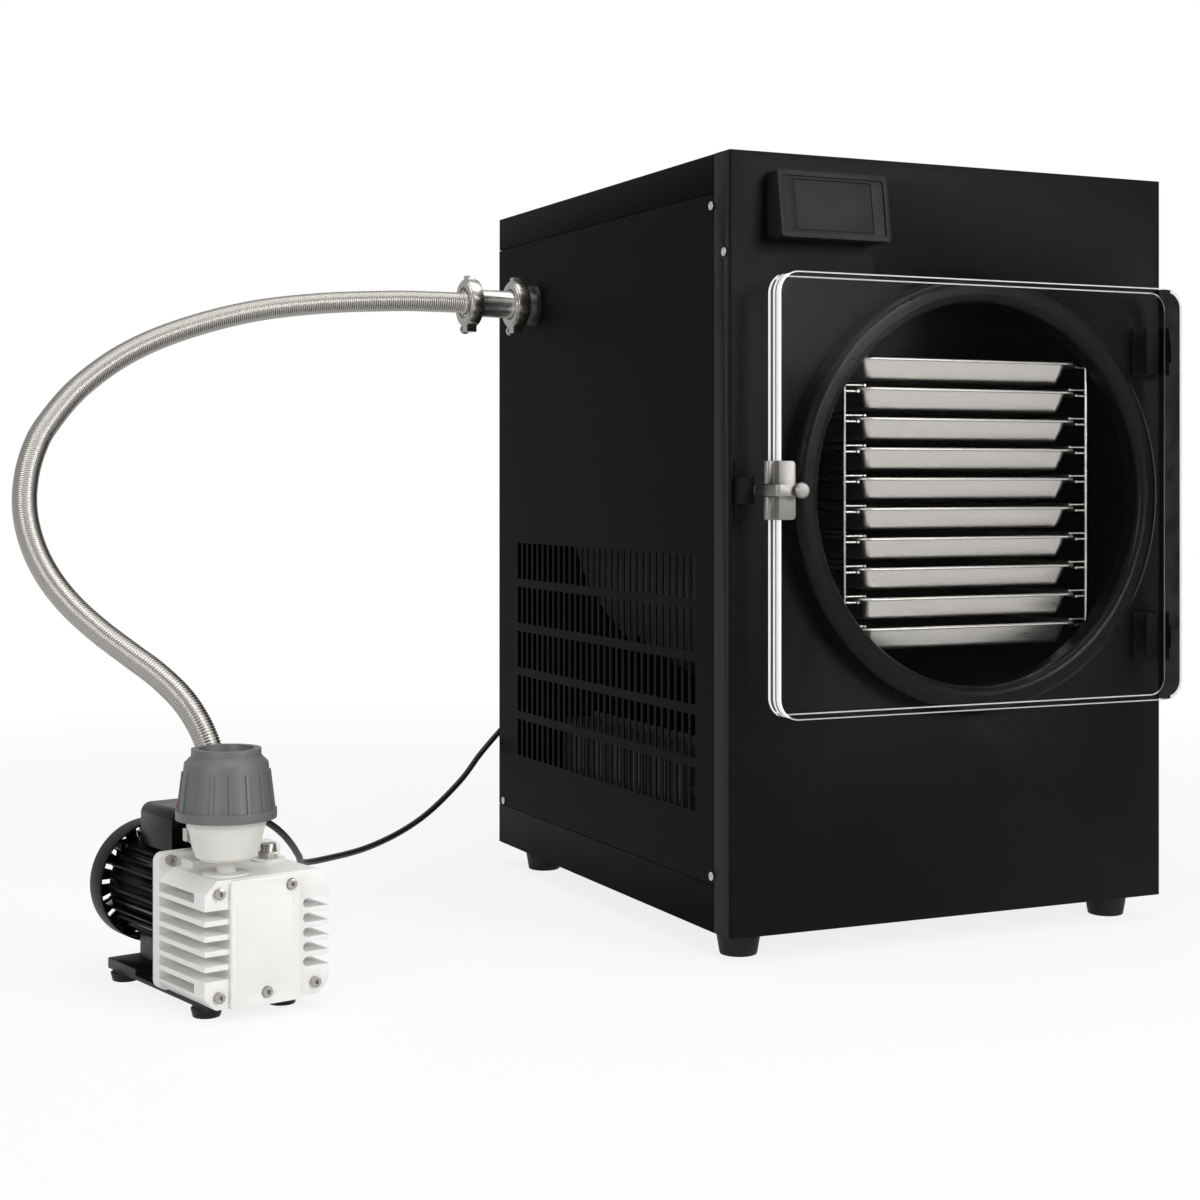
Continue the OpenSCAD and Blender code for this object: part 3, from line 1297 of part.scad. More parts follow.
module fan_cowl() color("#2a2a2b") in_pump()
translate([0, flange_back + motor_l - 4, motor_z]) difference() {
    backwards() difference() {
        union() {
            cylinder(r = cowl_r, h = cowl_l - 3);
            translate([0, 0, cowl_l - 3]) cylinder(r1 = cowl_r, r2 = cowl_r - 3, h = 3);
        }
        translate([0, 0, -over]) cylinder(r = cowl_r - 2, h = cowl_l - 2);
    }
    // plain air slots in the back
    for (a = [0 : 20 : 359]) rotate([0, a, 0]) translate([18, 0, -2.2]) cube([35, 2 * cowl_l, 4.4]);
}

box_w = 52;
box_front = 34;
box_l = 66;
box_top = 164;

module terminal_box() color("#121212") in_pump() difference() {
    union() {
        translate([-box_w / 2, flange_back + box_front, motor_z + motor_r - 9])
            cube([box_w, box_l, box_top - motor_z - motor_r + 9 - 10]);
        translate([-box_w / 2 + 10, flange_back + box_front, motor_z + motor_r - 9])
            cube([box_w - 20, box_l, box_top - motor_z - motor_r + 9]);
        for (s = [-1, 1]) translate([s * (box_w / 2 - 10), flange_back + box_front, box_top - 10])
            backwards() cylinder(r = 10, h = box_l);
        // cable gland
        translate([box_w / 2 - 1, gland_y, gland_z]) rightwards() {
            cylinder(r = 9, h = 8, $fn = 6);
            cylinder(r1 = 7.5, r2 = lead_d / 2 + 1.5, h = 30);
        }
    }
    translate([0, flange_back, motor_z]) backwards() cylinder(r = motor_r - 3.3, h = motor_l + 10);
    translate([0, switch_y, box_top]) cube([22, 15, 24], center = true);
    translate([box_w / 2 + 10, gland_y, gland_z]) rightwards() cylinder(r = lead_d / 2 + 0.6, h = 30);
}

gland_y = flange_back + 88;
gland_z = 142;
switch_y = flange_back + 52;

module pump_switch() color("#c9471c") in_pump()
    translate([0, switch_y, box_top]) rotate([90, 0, 0]) rocker(20, 13);

// ---- exhaust filter ----
neck_top = block_top + 13;
bowl_top = neck_top + bowl_h;
cap_ring_h = 8;
cap_shoulder = bowl_top + cap_ring_h + cap_h;
mouth_r = 24.5;
mouth_top = cap_shoulder + 6;
mouth_deep = 16.5;

module on_filter() in_pump() translate([filter_x, filter_y, 0]) children();

module filter_bowl() color("#e9e8e2") on_filter() rotate_extrude() difference() {
    union() {
        translate([0, block_top + 1.6]) square([8.5, neck_top - block_top]);
        translate([0, block_top - 6]) square([6, 12]);
        polygon([[0, neck_top], [bowl_r - 12, neck_top], [bowl_r - 7.5, neck_top + 3],
                 [bowl_r - 4.5, neck_top + 12], [bowl_r - 2, neck_top + 24], [bowl_r, bowl_top - 6],
                 [bowl_r, bowl_top], [0, bowl_top]]);
    }
    polygon([[0, neck_top + 3], [bowl_r - 13, neck_top + 3], [bowl_r - 7, neck_top + 13],
             [bowl_r - 3, bowl_top - 6], [bowl_r - 3, bowl_top + over], [0, bowl_top + over]]);
}

module filter_cap() color("#54565a") on_filter() difference() {
    union() {
        translate([0, 0, bowl_top]) cylinder(r = cap_ring_r, h = cap_ring_h);
        translate([0, 0, bowl_top + cap_ring_h - 0.5])
            cylinder(r1 = cap_r, r2 = cap_top_r, h = cap_h - 5.5);
        translate([0, 0, cap_shoulder - 6]) cylinder(r1 = cap_top_r, r2 = cap_top_r - 6, h = 6);
        translate([0, 0, cap_shoulder - 1]) cylinder(r = cap_mouth_r, h = 7);
        // ribs down the side
        for (a = [0 : 360 / cap_ribs : 359]) rotate([0, 0, a])
            translate([cap_r, 0, bowl_top + cap_ring_h - 1])
                rotate([0, -atan((cap_r - cap_top_r) / (cap_h - 5.5)), 0])
                    translate([-2, -1.2, 0]) cube([3.4, 2.4, cap_h - 12]);
    }
    translate([0, 0, mouth_top - mouth_deep]) cylinder(r = mouth_r, h = 30);
    // room for the bowl's rim and a way down from the mouth
    translate([0, 0, bowl_top - over]) cylinder(r = bowl_r - 2, h = cap_ring_h + 20);
    translate([8, 0, bowl_top]) cylinder(r = 6, h = 80);
}

base_pan();
front_panel();
left_side_panel();
right_side_panel();
rear_panel();
top_cover();
feet();
panel_screws();
display_bezel();
touchscreen();
control_board();
vacuum_chamber();
evaporator_coil();
refrigerant_lines();
chamber_insulation();
door_gasket();
tray_rack();
shelf_heaters();
tray_1();
tray_2();
tray_3();
tray_4();
tray_5();
tray_6();
tray_7();
tray_8();
tray_9();
tray_10();
compressor();
condenser();
fan_shroud();
fan_motor();
fan_blade();
power_supply();
power_sockets();
mains_switch();
vacuum_port();
port_grommet();
kf_clamps();
hose_fittings();
vacuum_hose();
door_panel();
hinge_brackets();
hinge_leaves();
latch_keeper();
latch_plate();
latch_lever();
pump_base();
pump_block();
pump_front_plate();
pump_fittings();
motor_housing();
motor_rotor();
fan_cowl();
terminal_box();
pump_switch();
filter_bowl();
filter_cap();
pump_lead();
lead_plug();
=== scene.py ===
import json
import math

import bmesh
import bpy
from mathutils import Matrix, Vector

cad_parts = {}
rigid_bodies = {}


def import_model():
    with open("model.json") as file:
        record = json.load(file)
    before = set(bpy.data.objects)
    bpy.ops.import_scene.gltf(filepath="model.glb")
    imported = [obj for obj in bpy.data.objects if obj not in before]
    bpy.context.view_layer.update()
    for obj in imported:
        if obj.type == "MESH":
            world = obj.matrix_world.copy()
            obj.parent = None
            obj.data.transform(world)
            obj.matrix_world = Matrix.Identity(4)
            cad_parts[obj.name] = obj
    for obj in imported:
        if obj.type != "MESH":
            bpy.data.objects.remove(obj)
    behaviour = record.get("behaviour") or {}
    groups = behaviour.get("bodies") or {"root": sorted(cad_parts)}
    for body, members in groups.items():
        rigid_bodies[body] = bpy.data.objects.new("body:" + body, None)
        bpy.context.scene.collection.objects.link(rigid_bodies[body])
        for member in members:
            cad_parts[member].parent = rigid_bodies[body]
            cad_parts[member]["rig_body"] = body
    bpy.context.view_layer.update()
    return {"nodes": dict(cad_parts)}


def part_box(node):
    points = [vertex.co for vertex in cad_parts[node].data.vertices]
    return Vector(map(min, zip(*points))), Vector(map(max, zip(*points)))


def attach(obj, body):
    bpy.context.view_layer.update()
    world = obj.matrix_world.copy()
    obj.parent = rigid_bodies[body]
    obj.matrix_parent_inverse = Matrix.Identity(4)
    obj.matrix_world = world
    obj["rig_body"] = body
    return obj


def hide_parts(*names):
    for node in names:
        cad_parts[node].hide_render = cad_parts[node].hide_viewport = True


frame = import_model()
nodes = frame["nodes"]

# ---- studio: a white sweep, one broad light overhead and one at each side of the camera ----
# The camera stands to the left of the door, at the height of the chamber, and looks level.
camera = bpy.data.objects.new("camera", bpy.data.cameras.new("camera"))
camera.data.lens = 61.608
camera.data.sensor_width = 36
camera.data.shift_y = -0.10025
camera.data.clip_end = 60
level, turned_right = math.radians(90), math.radians(-24.65)
camera.location = (-0.9144, -2.0058, 0.4681)
camera.rotation_euler = (level, 0, turned_right)
bpy.context.collection.objects.link(camera)
bpy.context.scene.camera = camera
bpy.context.scene.view_settings.view_transform = "Standard"


class Wire:
    """One socket in the nodes of a finish. Sums and products of wires add their Math nodes."""

    def __init__(self, tree, socket):
        self.tree, self.socket = tree, socket

    def node(self, kind, settings, inputs, out=0):
        """A new node with its settings and the values or wires of its sockets."""
        made = self.tree.nodes.new("ShaderNode" + kind)
        for name, value in settings.items():
            setattr(made, name, value)
        for name, value in inputs.items():
            self.plug(made.inputs[name], value)
        return Wire(self.tree, made.outputs[out])

    def plug(self, socket, value):
        if isinstance(value, Wire):
            self.tree.links.new(value.socket, socket)
        else:
            socket.default_value = value

    def maths(self, operation, *values):
        return self.node("Math", {"operation": operation}, dict(enumerate(values)))

    def __add__(self, other):
        return self.maths("ADD", self, other)

    def __mul__(self, other):
        return self.maths("MULTIPLY", self, other)

    __radd__ = __add__
    __rmul__ = __mul__

    def between(self, low, high):
        """0 below low, 1 above high and a soft step from one to the other."""
        return self.node("MapRange", {"interpolation_type": "SMOOTHSTEP"},
                         {"Value": self, "From Min": low, "From Max": high})

    def tint(self, low, high):
        """The colour low where this wire is 0, and high where it is 1."""
        factor, first, second, colour_out = 0, 6, 7, 2
        return self.node("Mix", {"data_type": "RGBA"},
                         {factor: self, first: (*low, 1), second: (*high, 1)}, colour_out)


def floor_finish():
    """White paper: it shows the shadow near the object and runs into the white behind it."""
    shadow_until, white_from = 0.9, 2.4
    glow_near, glow_far, glow_mirrored = 0.84, 1.0, 0.45
    paper = bpy.data.materials.new("studio_paper")
    paper.use_nodes = True
    tree = paper.node_tree
    tree.nodes.clear()
    rays = tree.nodes.new("ShaderNodeLightPath")
    seen = Wire(tree, rays.outputs["Is Camera Ray"])
    mirrored = seen.maths("MAXIMUM", Wire(tree, rays.outputs["Is Glossy Ray"]),
                          Wire(tree, rays.outputs["Is Transmission Ray"]))
    spot = Wire(tree, tree.nodes.new("ShaderNodeTexCoord").outputs["Object"])
    away = spot.node("VectorMath", {"operation": "LENGTH"}, {0: spot}, "Value")
    far = away.between(shadow_until, white_from)
    matt = far.node("BsdfDiffuse", {}, {"Color": (0.90, 0.90, 0.90, 1)})
    glow = far.node("Emission", {}, {"Color": (1, 1, 1, 1), "Strength": 1.0})
    white_part = seen * (far * (glow_far - glow_near) + glow_near) + mirrored * glow_mirrored
    mixed = far.node("MixShader", {}, {0: white_part, 1: matt, 2: glow})
    ground = tree.nodes.new("ShaderNodeOutputMaterial")
    tree.links.new(mixed.socket, ground.inputs["Surface"])
    return paper


far_side = 30
paper_mesh = bpy.data.meshes.new("studio_floor")
paper_mesh.from_pydata([(x * far_side, y * far_side, 0)
                        for x, y in ((-1, -1), (1, -1), (1, 1), (-1, 1))], [], [(0, 1, 2, 3)])
studio_floor = bpy.data.objects.new("studio_floor", paper_mesh)
paper_mesh.materials.append(floor_finish())
bpy.context.collection.objects.link(studio_floor)

world = bpy.data.worlds.new("studio")
bpy.context.scene.world = world
world.use_nodes = True
world.node_tree.nodes.clear()
rays = world.node_tree.nodes.new("ShaderNodeLightPath")
seen = Wire(world.node_tree, rays.outputs["Is Camera Ray"])
through = Wire(world.node_tree, rays.outputs["Is Transmission Ray"])
mirrored = Wire(world.node_tree, rays.outputs["Is Glossy Ray"])
light_part, mirrored_part, seen_part = 0.28, 0.27, 0.72
strength = (seen.maths("MAXIMUM", seen, through) * seen_part + mirrored * mirrored_part
            + light_part)
surround = seen.node("Background", {}, {"Color": (1, 1, 1, 1), "Strength": strength})
sky = world.node_tree.nodes.new("ShaderNodeOutputWorld")
world.node_tree.links.new(surround.socket, sky.inputs["Surface"])


def soft_box(name, place, aim, width, height, power):
    """A rectangular lamp, of the given size in metres and power in watts, aimed at a point."""
    lamp = bpy.data.lights.new(name, "AREA")
    lamp.shape, lamp.size, lamp.size_y, lamp.energy = "RECTANGLE", width, height, power
    box = bpy.data.objects.new(name, lamp)
    box.location = place
    box.rotation_euler = (Vector(aim) - Vector(place)).to_track_quat("-Z", "Y").to_euler()
    bpy.context.collection.objects.link(box)


soft_box("overhead", (0.0, -0.3, 3.2), (0, 0, 0.3), 3.0, 3.0, 56)
soft_box("key", (1.25, -3.0, 1.45), (0.1, 0, 0.45), 1.3, 1.5, 50)
soft_box("fill", (-2.9, -2.2, 1.3), (-0.5, 0, 0.2), 1.0, 1.6, 32)


class Finish(Wire):
    """The nodes of one material: a Principled shader, with the wire at the place on the piece."""

    def __init__(self, name, colour, roughness, metallic=0.0, **constants):
        self.colour, self.roughness = colour, roughness
        self.material = bpy.data.materials.new(name)
        self.material.use_nodes = True
        tree = self.material.node_tree
        tree.nodes.clear()
        self.shader = tree.nodes.new("ShaderNodeBsdfPrincipled")
        end = tree.nodes.new("ShaderNodeOutputMaterial")
        tree.links.new(self.shader.outputs[0], end.inputs["Surface"])
        super().__init__(tree, tree.nodes.new("ShaderNodeTexCoord").outputs["Object"])
        self.set(Base_Color=(*colour, 1), Roughness=roughness, Metallic=metallic, **constants)

    def set(self, **values):
        """Wires or constants for the shader's sockets, such as Base_Color."""
        for name, value in values.items():
            self.plug(self.shader.inputs[name.replace("_", " ")], value)
        return self

    def stretched(self, x, y, z):
        """The place on the piece, scaled along each axis."""
        return self.node("Mapping", {}, {"Vector": self, "Scale": (x, y, z)})

    def noise(self, scale, detail=2.0, roughness=0.5, place=None):
        """Noise from 0 to 1, with the given number of lumps in a metre."""
        return self.node("TexNoise", {}, {"Vector": place or self, "Scale": scale,
                                          "Detail": detail, "Roughness": roughness})

    def bumps(self, height, depth):
        """Relief of the given depth in metres, from a height of 0 to 1."""
        return self.set(Normal=self.node("Bump", {}, {"Height": height, "Distance": depth,
                                                      "Strength": 1.0}))

    def grain(self, scale, depth):
        """Fine bumps of the given depth in metres, with scale lumps in a metre."""
        return self.bumps(self.noise(scale), depth)

    def uneven(self, scale, spread, detail=2.0):
        """Patches that are rougher than the finish's own roughness, by up to spread."""
        patches = self.noise(scale, detail).between(0.2, 0.8)
        return self.set(Roughness=patches * spread + self.roughness)

    def mottled(self, scale, other, detail=2.0):
        """Patches that go from the finish's own colour to the other one."""
        patches = self.noise(scale, detail).between(0.3, 0.7)
        return self.set(Base_Color=patches.tint(self.colour, other))

    def on(self, *pieces):
        """Puts the finish on pieces, in place of what they had."""
        for piece in pieces:
            piece.data.materials.clear()
            piece.data.materials.append(self.material)


def wear(*names):
    """The solids with these names, to put a finish on."""
    return [nodes[name] for name in names]


# ---- vacuum hose ----
# Corrugated stainless tube under a fine woven braid, 24 mm thick, from the clamp at the cabinet
# round in one free curve and down to the pump's inlet, behind its exhaust filter.
# The route is in millimetres from the middle of the cabinet's front, on the floor.
front_middle = Vector((0.281738, -0.2645, 0))
hose_route = [Vector(p) / 1000 + front_middle for p in (
    (-349, 487, 673), (-390, 487, 673), (-435, 487, 672), (-519, 484, 666), (-603, 474, 653),
    (-685, 452, 629), (-750, 424, 600), (-805, 388, 562), (-843.3, 349.7, 522.7),
    (-860, 325.2, 497.6), (-871.2, 301.7, 468.8), (-875.8, 279.3, 437.7), (-872.4, 256.8, 406.5),
    (-862.1, 233.4, 377.4), (-845.8, 209.6, 351.5), (-824.6, 186.4, 328.6), (-801, 163.4, 307.8),
    (-778.1, 139.2, 287.8), (-758.4, 116.4, 263.8), (-744.3, 99.8, 232.7),
    (-736.4, 91.5, 195.9), (-736.4, 91.5, 177), (-736.4, 91.5, 159))]


def flowing(points, steps):
    """The smooth line through the points, in so many steps from each point to the next."""
    line = []
    for i in range(len(points) - 1):
        a, b = points[max(i - 1, 0)], points[i]
        c, d = points[i + 1], points[min(i + 2, len(points) - 1)]
        for k in range(steps):
            t = k / steps
            line.append(b + 0.5 * t * ((c - a) + t * ((2 * a - 5 * b + 4 * c - d)
                                                       + t * (3 * (b - c) + d - a))))
    return line + [points[-1]]


def evenly(line, spacing):
    """Points the same distance apart along a line."""
    lengths = [0.0]
    for a, b in zip(line, line[1:]):
        lengths.append(lengths[-1] + (b - a).length)
    count = round(lengths[-1] / spacing)
    even, k = [], 0
    for i in range(count + 1):
        want = lengths[-1] * i / count
        while k < len(line) - 2 and lengths[k + 1] < want:
            k += 1
        even.append(line[k].lerp(line[k + 1], (want - lengths[k]) / (lengths[k + 1] - lengths[k])))
    return even


def piece_from(name, verts, faces):
    """A new piece with a smooth-shaded mesh."""
    mesh = bpy.data.meshes.new(name)
    mesh.from_pydata([tuple(v) for v in verts], [], faces)
    mesh.validate()
    mesh.shade_smooth()
    made = bpy.data.objects.new(name, mesh)
    bpy.context.collection.objects.link(made)
    return made


def sleeve(name, line, radii, sides):
    """A round skin along a line, closed at both ends, with its own radius at each point."""
    verts, faces = [], []
    across = Vector((0.5, 0.6, -0.62)).normalized()  # any way that the line doesn't start in
    for i, point in enumerate(line):
        ahead = (line[min(i + 1, len(line) - 1)] - line[max(i - 1, 0)]).normalized()
        across = (across - ahead * across.dot(ahead)).normalized()
        other = ahead.cross(across)
        for k in range(sides):
            turn = 2 * math.pi * k / sides
            verts.append(point + radii[i] * (math.cos(turn) * across + math.sin(turn) * other))
    for i in range(len(line) - 1):
        for k in range(sides):
            a, b = i * sides + k, i * sides + (k + 1) % sides
            faces.append((a, b, b + sides, a + sides))
    faces.append(tuple(range(sides))[::-1])
    faces.append(tuple((len(line) - 1) * sides + k for k in range(sides)))
    return piece_from(name, verts, faces)


ring_pitch, hose_r = 0.0026, 0.01195
ring_depths = (0.0, 0.0004, 0.0012, 0.0004)
hose_line = evenly(flowing(hose_route, steps=12), ring_pitch / len(ring_depths))
hose_skin = [hose_r - ring_depths[i % len(ring_depths)] for i in range(len(hose_line))]
hose = sleeve("vacuum_hose_braid", hose_line, hose_skin, sides=28)
strand_dark, strand_bright = (0.37, 0.355, 0.33), (0.46, 0.443, 0.411)
steel_braid = Finish("hose_braid", strand_dark, 0.24, metallic=1.0)
strands = steel_braid.noise(1300)
steel_braid.set(Base_Color=strands.between(0.3, 0.7).tint(strand_dark, strand_bright),
                Roughness=strands * 0.12 + steel_braid.roughness).on(hose)
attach(hose, "cabinet")
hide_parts("vacuum_hose")
flowing(hose_route, 4)

# ---- pump lead ----
# Round rubber flex, 7 mm thick, from the gland of the pump's terminal box, low behind the
# cabinet and up into the pump's socket at the back.
lead_route = [Vector(p) / 1000 + front_middle for p in (
    (-717, 203, 142), (-700, 207, 142), (-682, 211, 141), (-664, 217, 138), (-648, 226, 129),
    (-632, 241, 116), (-617, 262, 101), (-600, 296, 83), (-581, 345, 67), (-535, 400, 59),
    (-477, 455, 56), (-419, 505, 62), (-366, 550, 76), (-313, 588, 104), (-282, 608, 129),
    (-260, 618, 147), (-241, 625, 162), (-223, 626, 176), (-208, 621.5, 188),
    (-199.5, 616.5, 198), (-195.6, 613.4, 206), (-195, 613, 214), (-195, 613, 222),
    (-195, 613, 229))]
lead_r, lead_step = 0.00345, 0.004
lead_line = evenly(flowing(lead_route, steps=10), lead_step)
lead = sleeve("pump_lead_flex", lead_line, [lead_r] * len(lead_line), sides=14)
flex = Finish("flex_rubber", (0.006, 0.006, 0.0065), 0.36, Specular_IOR_Level=0.4)
flex.uneven(160, 0.16).grain(1400, 0.0001).on(lead, nodes["lead_plug"])
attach(lead, "cabinet")
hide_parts("pump_lead")
flowing(lead_route, 4)


def softened(node, width, segments=2):
    """A copy of a solid with its sharp edges rounded off, riding where the solid does."""
    sharp_edge, flat, joined = math.radians(32), math.radians(0.5), 2e-6
    made = bpy.data.objects.new(node + "_finished", nodes[node].data.copy())
    bpy.context.collection.objects.link(made)
    shape = bmesh.new()
    shape.from_mesh(made.data)
    bmesh.ops.remove_doubles(shape, verts=shape.verts, dist=joined)
    bmesh.ops.dissolve_limit(shape, angle_limit=flat, verts=shape.verts, edges=shape.edges)
    shape.to_mesh(made.data)
    shape.free()
    made.data.shade_smooth()
    edge = made.modifiers.new("edge", "BEVEL")
    edge.width, edge.segments, edge.limit_method = width, segments, "ANGLE"
    edge.angle_limit = sharp_edge
    edge.harden_normals = True
    edge.use_clamp_overlap = True
    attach(made, nodes[node]["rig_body"])
    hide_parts(node)
    return made


def powder_coat(name, shade, gloss, roughness):
    """Satin near-black coat with a fine pebbled skin, a little uneven in colour."""
    darker = [shade * part for part in (0.84, 0.84, 0.87)]
    lighter = [shade * part for part in (1.17, 1.17, 1.22)]
    coat = Finish(name, darker, roughness, Specular_IOR_Level=gloss)
    pebble, cloud = coat.noise(1500), coat.noise(7)
    coat.set(Base_Color=(cloud * 0.6 + pebble * 0.4).between(0.35, 0.65).tint(darker, lighter),
             Roughness=cloud * 0.06 + roughness)
    return coat.bumps(pebble, 0.00025)


# Two copies of the one coat: a darker, glossier one on the front panel and a lighter one on the
# other sheets. The difference in shade is painted, set to how each face is lit.
powder_coat("powder_coat_front", shade=0.0024, gloss=0.09, roughness=0.30).on(
    softened("front_panel", 0.0004))
powder_coat("powder_coat", shade=0.0040, gloss=0.02, roughness=0.38).on(
    *wear("left_side_panel", "right_side_panel", "rear_panel"), softened("base_pan", 0.0005),
    softened("top_cover", 0.0008))

# ---- feet ----
# Four tapered feet, moulded in matt black rubber. Each is screwed up into the base pan, near a
# corner of the cabinet.
foot_rubber = Finish("foot_rubber", (0.008, 0.008, 0.008), 0.46, Specular_IOR_Level=0.3)
foot_rubber.uneven(60, 0.14).grain(1200, 0.0001).on(softened("feet", 0.0015))

# ---- panel screws ----
# Small pan-head screws of zinc-plated steel, driven in from outside. They hold the side sheets
# and the rear panel.
zinc = Finish("zinc_plate", (0.62, 0.61, 0.58), 0.16, metallic=1.0)
zinc.uneven(400, 0.2, detail=3.0).on(softened("panel_screws", 0.0006))

# ---- display ----
# Housing moulded in black plastic with a raised rim, tilted up a little. A plain dark touch
# glass sits in it, with the circuit board behind.
housing = Finish("display_housing", (0.0105, 0.0105, 0.0108), 0.38, Specular_IOR_Level=0.15)
housing.uneven(50, 0.1).grain(1500, 0.00012).on(softened("display_bezel", 0.0008, segments=3))
screen = Finish("screen_glass", (0.021, 0.021, 0.022), 0.46, Specular_IOR_Level=0.1)
smears = screen.noise(20).between(0.3, 0.7)
screen.set(Roughness=smears * 0.08 + screen.roughness).on(softened("touchscreen", 0.0004))
board_green, mask_green = (0.01, 0.07, 0.025), (0.02, 0.12, 0.045)
board = Finish("circuit_board", board_green, 0.4)
tracks = board.noise(300).between(0.45, 0.55)
board.set(Base_Color=tracks.tint(board_green, mask_green)).on(nodes["control_board"])

# ---- vacuum chamber ----
# Deep-drawn steel drum, near black inside with no sheen at all. The copper coil that chills it
# goes round it in turns, under a jacket of dark foam.
drum = Finish("chamber_coating", (0.0012, 0.0012, 0.0013), 0.5, Specular_IOR_Level=0.0)
drum.uneven(20, 0.15).on(nodes["vacuum_chamber"])
copper = Finish("copper", (0.36, 0.15, 0.07), 0.2, metallic=1.0)
copper.uneven(60, 0.2).mottled(90, (0.55, 0.25, 0.12))
copper.on(*wear("evaporator_coil", "refrigerant_lines"))
foam = Finish("foam_jacket", (0.022, 0.022, 0.024), 0.9)
foam.mottled(200, (0.04, 0.04, 0.042)).grain(500, 0.0005).on(nodes["chamber_insulation"])

# ---- door seal ----
# Thick ring of smooth black rubber, pushed over the chamber's lip. The grommet where the port
# leaves the side panel is of the same rubber.
seal_rubber = Finish("seal_rubber", (0.0018, 0.0018, 0.0019), 0.27, Specular_IOR_Level=0.15)
seal_rubber.uneven(60, 0.06).on(*wear("door_gasket", "port_grommet"))

# ---- tray rack ----
# Uprights, runners and guide wires of stainless wire, welded and electropolished. A heating mat
# of black silicone hangs on two straps under each tray.
wire_steel = Finish("rack_wire", (0.62, 0.61, 0.58), 0.15, metallic=1.0)
wire_steel.uneven(90, 0.15, detail=3.0).on(nodes["tray_rack"])
heater = Finish("heater_silicone", (0.004, 0.004, 0.0043), 0.7, Specular_IOR_Level=0.1)
heater.grain(900, 0.0001).on(nodes["shelf_heaters"])

# ---- trays ----
# Ten trays pressed from stainless sheet, with leaning walls and round corners. The edge of the
# flat rim is rolled down into a bead. The profile goes from the floor inside, over the rim and
# down the outside: how far in from the tray's side and how high, in millimetres.
tray_profile = ((18.6, -21.2), (16.8, -20.4), (15.6, -18.2), (12.5, -9.6), (9.6, -1.8),
                (9.0, -0.5), (8.2, 0.0), (3.2, 0.0), (1.6, 0.15), (0.45, -0.3), (0.0, -1.35),
                (0.45, -2.3), (1.35, -2.7), (2.3, -2.3), (2.7, -1.35), (2.9, -0.85), (7.2, -0.8),
                (8.2, -1.3), (8.7, -2.6), (11.8, -10.4), (14.6, -18.0), (15.4, -20.2),
                (16.4, -21.4), (18.2, -22.0))
rim_w, rim_l, rim_corner, floor_corner = 0.268, 0.450, 0.018, 0.0075
corner_loss = 0.85  # how fast the corners get tighter towards the tray's floor


def rounded_ring(half_w, half_l, corner, z, steps=8):
    """The points of a rectangle with round corners, at height z."""
    ring = []
    for cx, cy, first in ((1, 1, 0), (-1, 1, 90), (-1, -1, 180), (1, -1, 270)):
        for k in range(steps + 1):
            turn = math.radians(first + 90 * k / steps)
            ring.append((cx * (half_w - corner) + corner * math.cos(turn),
                         cy * (half_l - corner) + corner * math.sin(turn), z))
    return ring


def lofted(name, rings):
    """A skin over a row of rings with the same number of points each, closed at both ends."""
    count = len(rings[0])
    faces = [(i * count + k, i * count + (k + 1) % count, (i + 1) * count + (k + 1) % count,
              (i + 1) * count + k) for i in range(len(rings) - 1) for k in range(count)]
    faces.append(tuple(range(count))[::-1])
    faces.append(tuple((len(rings) - 1) * count + k for k in range(count)))
    return piece_from(name, [v for ring in rings for v in ring], faces)


tray_steel = Finish("tray_steel", (0.64, 0.62, 0.59), 0.26, metallic=1.0)
brushed = tray_steel.noise(60, detail=3.0, roughness=0.6, place=tray_steel.stretched(1, 1, 14))
tray_steel.set(Roughness=brushed.between(0.2, 0.8) * 0.14 + tray_steel.roughness)
for n in range(1, 11):
    low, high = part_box(f"tray_{n}")
    tray = lofted(f"tray_{n}_pressed", [
        rounded_ring(rim_w / 2 - inset / 1000, rim_l / 2 - inset / 1000,
                     max(floor_corner, rim_corner - corner_loss * inset / 1000), z / 1000)
        for inset, z in reversed(tray_profile)])
    tray.data.transform(Matrix.Translation(((low.x + high.x) / 2, (low.y + high.y) / 2, high.z)))
    tray_steel.on(tray)
    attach(tray, "cabinet")
    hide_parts(f"tray_{n}")

# ---- cooling machine ----
# Welded steel compressor in black enamel, and a finned condenser with a sheet-metal shroud and
# fan, all in the base. The heaters' power supply, in a plain metal case, is high at the back.
shell = Finish("compressor_shell", (0.008, 0.008, 0.009), 0.3)
shell.grain(300, 0.0001).on(nodes["compressor"])
fins = Finish("condenser_fins", (0.035, 0.035, 0.037), 0.5)
fins.uneven(90, 0.15).on(nodes["condenser"])
shroud = Finish("shroud_steel", (0.02, 0.02, 0.022), 0.45)
shroud.grain(600, 0.0001).on(*wear("fan_shroud", "fan_motor"))
blade = Finish("fan_blades", (0.45, 0.46, 0.47), 0.3, metallic=1.0)
blade.uneven(90, 0.2).on(nodes["fan_blade"])
supply = Finish("supply_case", (0.33, 0.34, 0.35), 0.3, metallic=1.0)
supply.uneven(90, 0.2).on(nodes["power_supply"])

# ---- sockets ----
# Mains inlet, outlet for the pump and rocker switch, moulded in black plastic. They are pushed
# into the rear panel.
moulded = Finish("socket_plastic", (0.006, 0.006, 0.006), 0.34, Specular_IOR_Level=0.28)
moulded.uneven(80, 0.1).grain(900, 0.00008).on(
    softened("power_sockets", 0.0005), softened("mains_switch", 0.0005))

# ---- vacuum port ----
# Stainless tube out of the cabinet, with a flange joint on each side of a short nipple. Each
# joint is drawn together by a hinged cast clamp.
port_tube = Finish("port_tube", (0.68, 0.66, 0.63), 0.24, metallic=1.0)
port_tube.uneven(90, 0.14, detail=3.0).on(nodes["vacuum_port"], softened("hose_fittings", 0.0005))
clamp_steel = Finish("clamp_steel", (0.50, 0.48, 0.445), 0.2, metallic=1.0)
clamp_steel.uneven(80, 0.08).on(softened("kf_clamps", 0.001, segments=3))
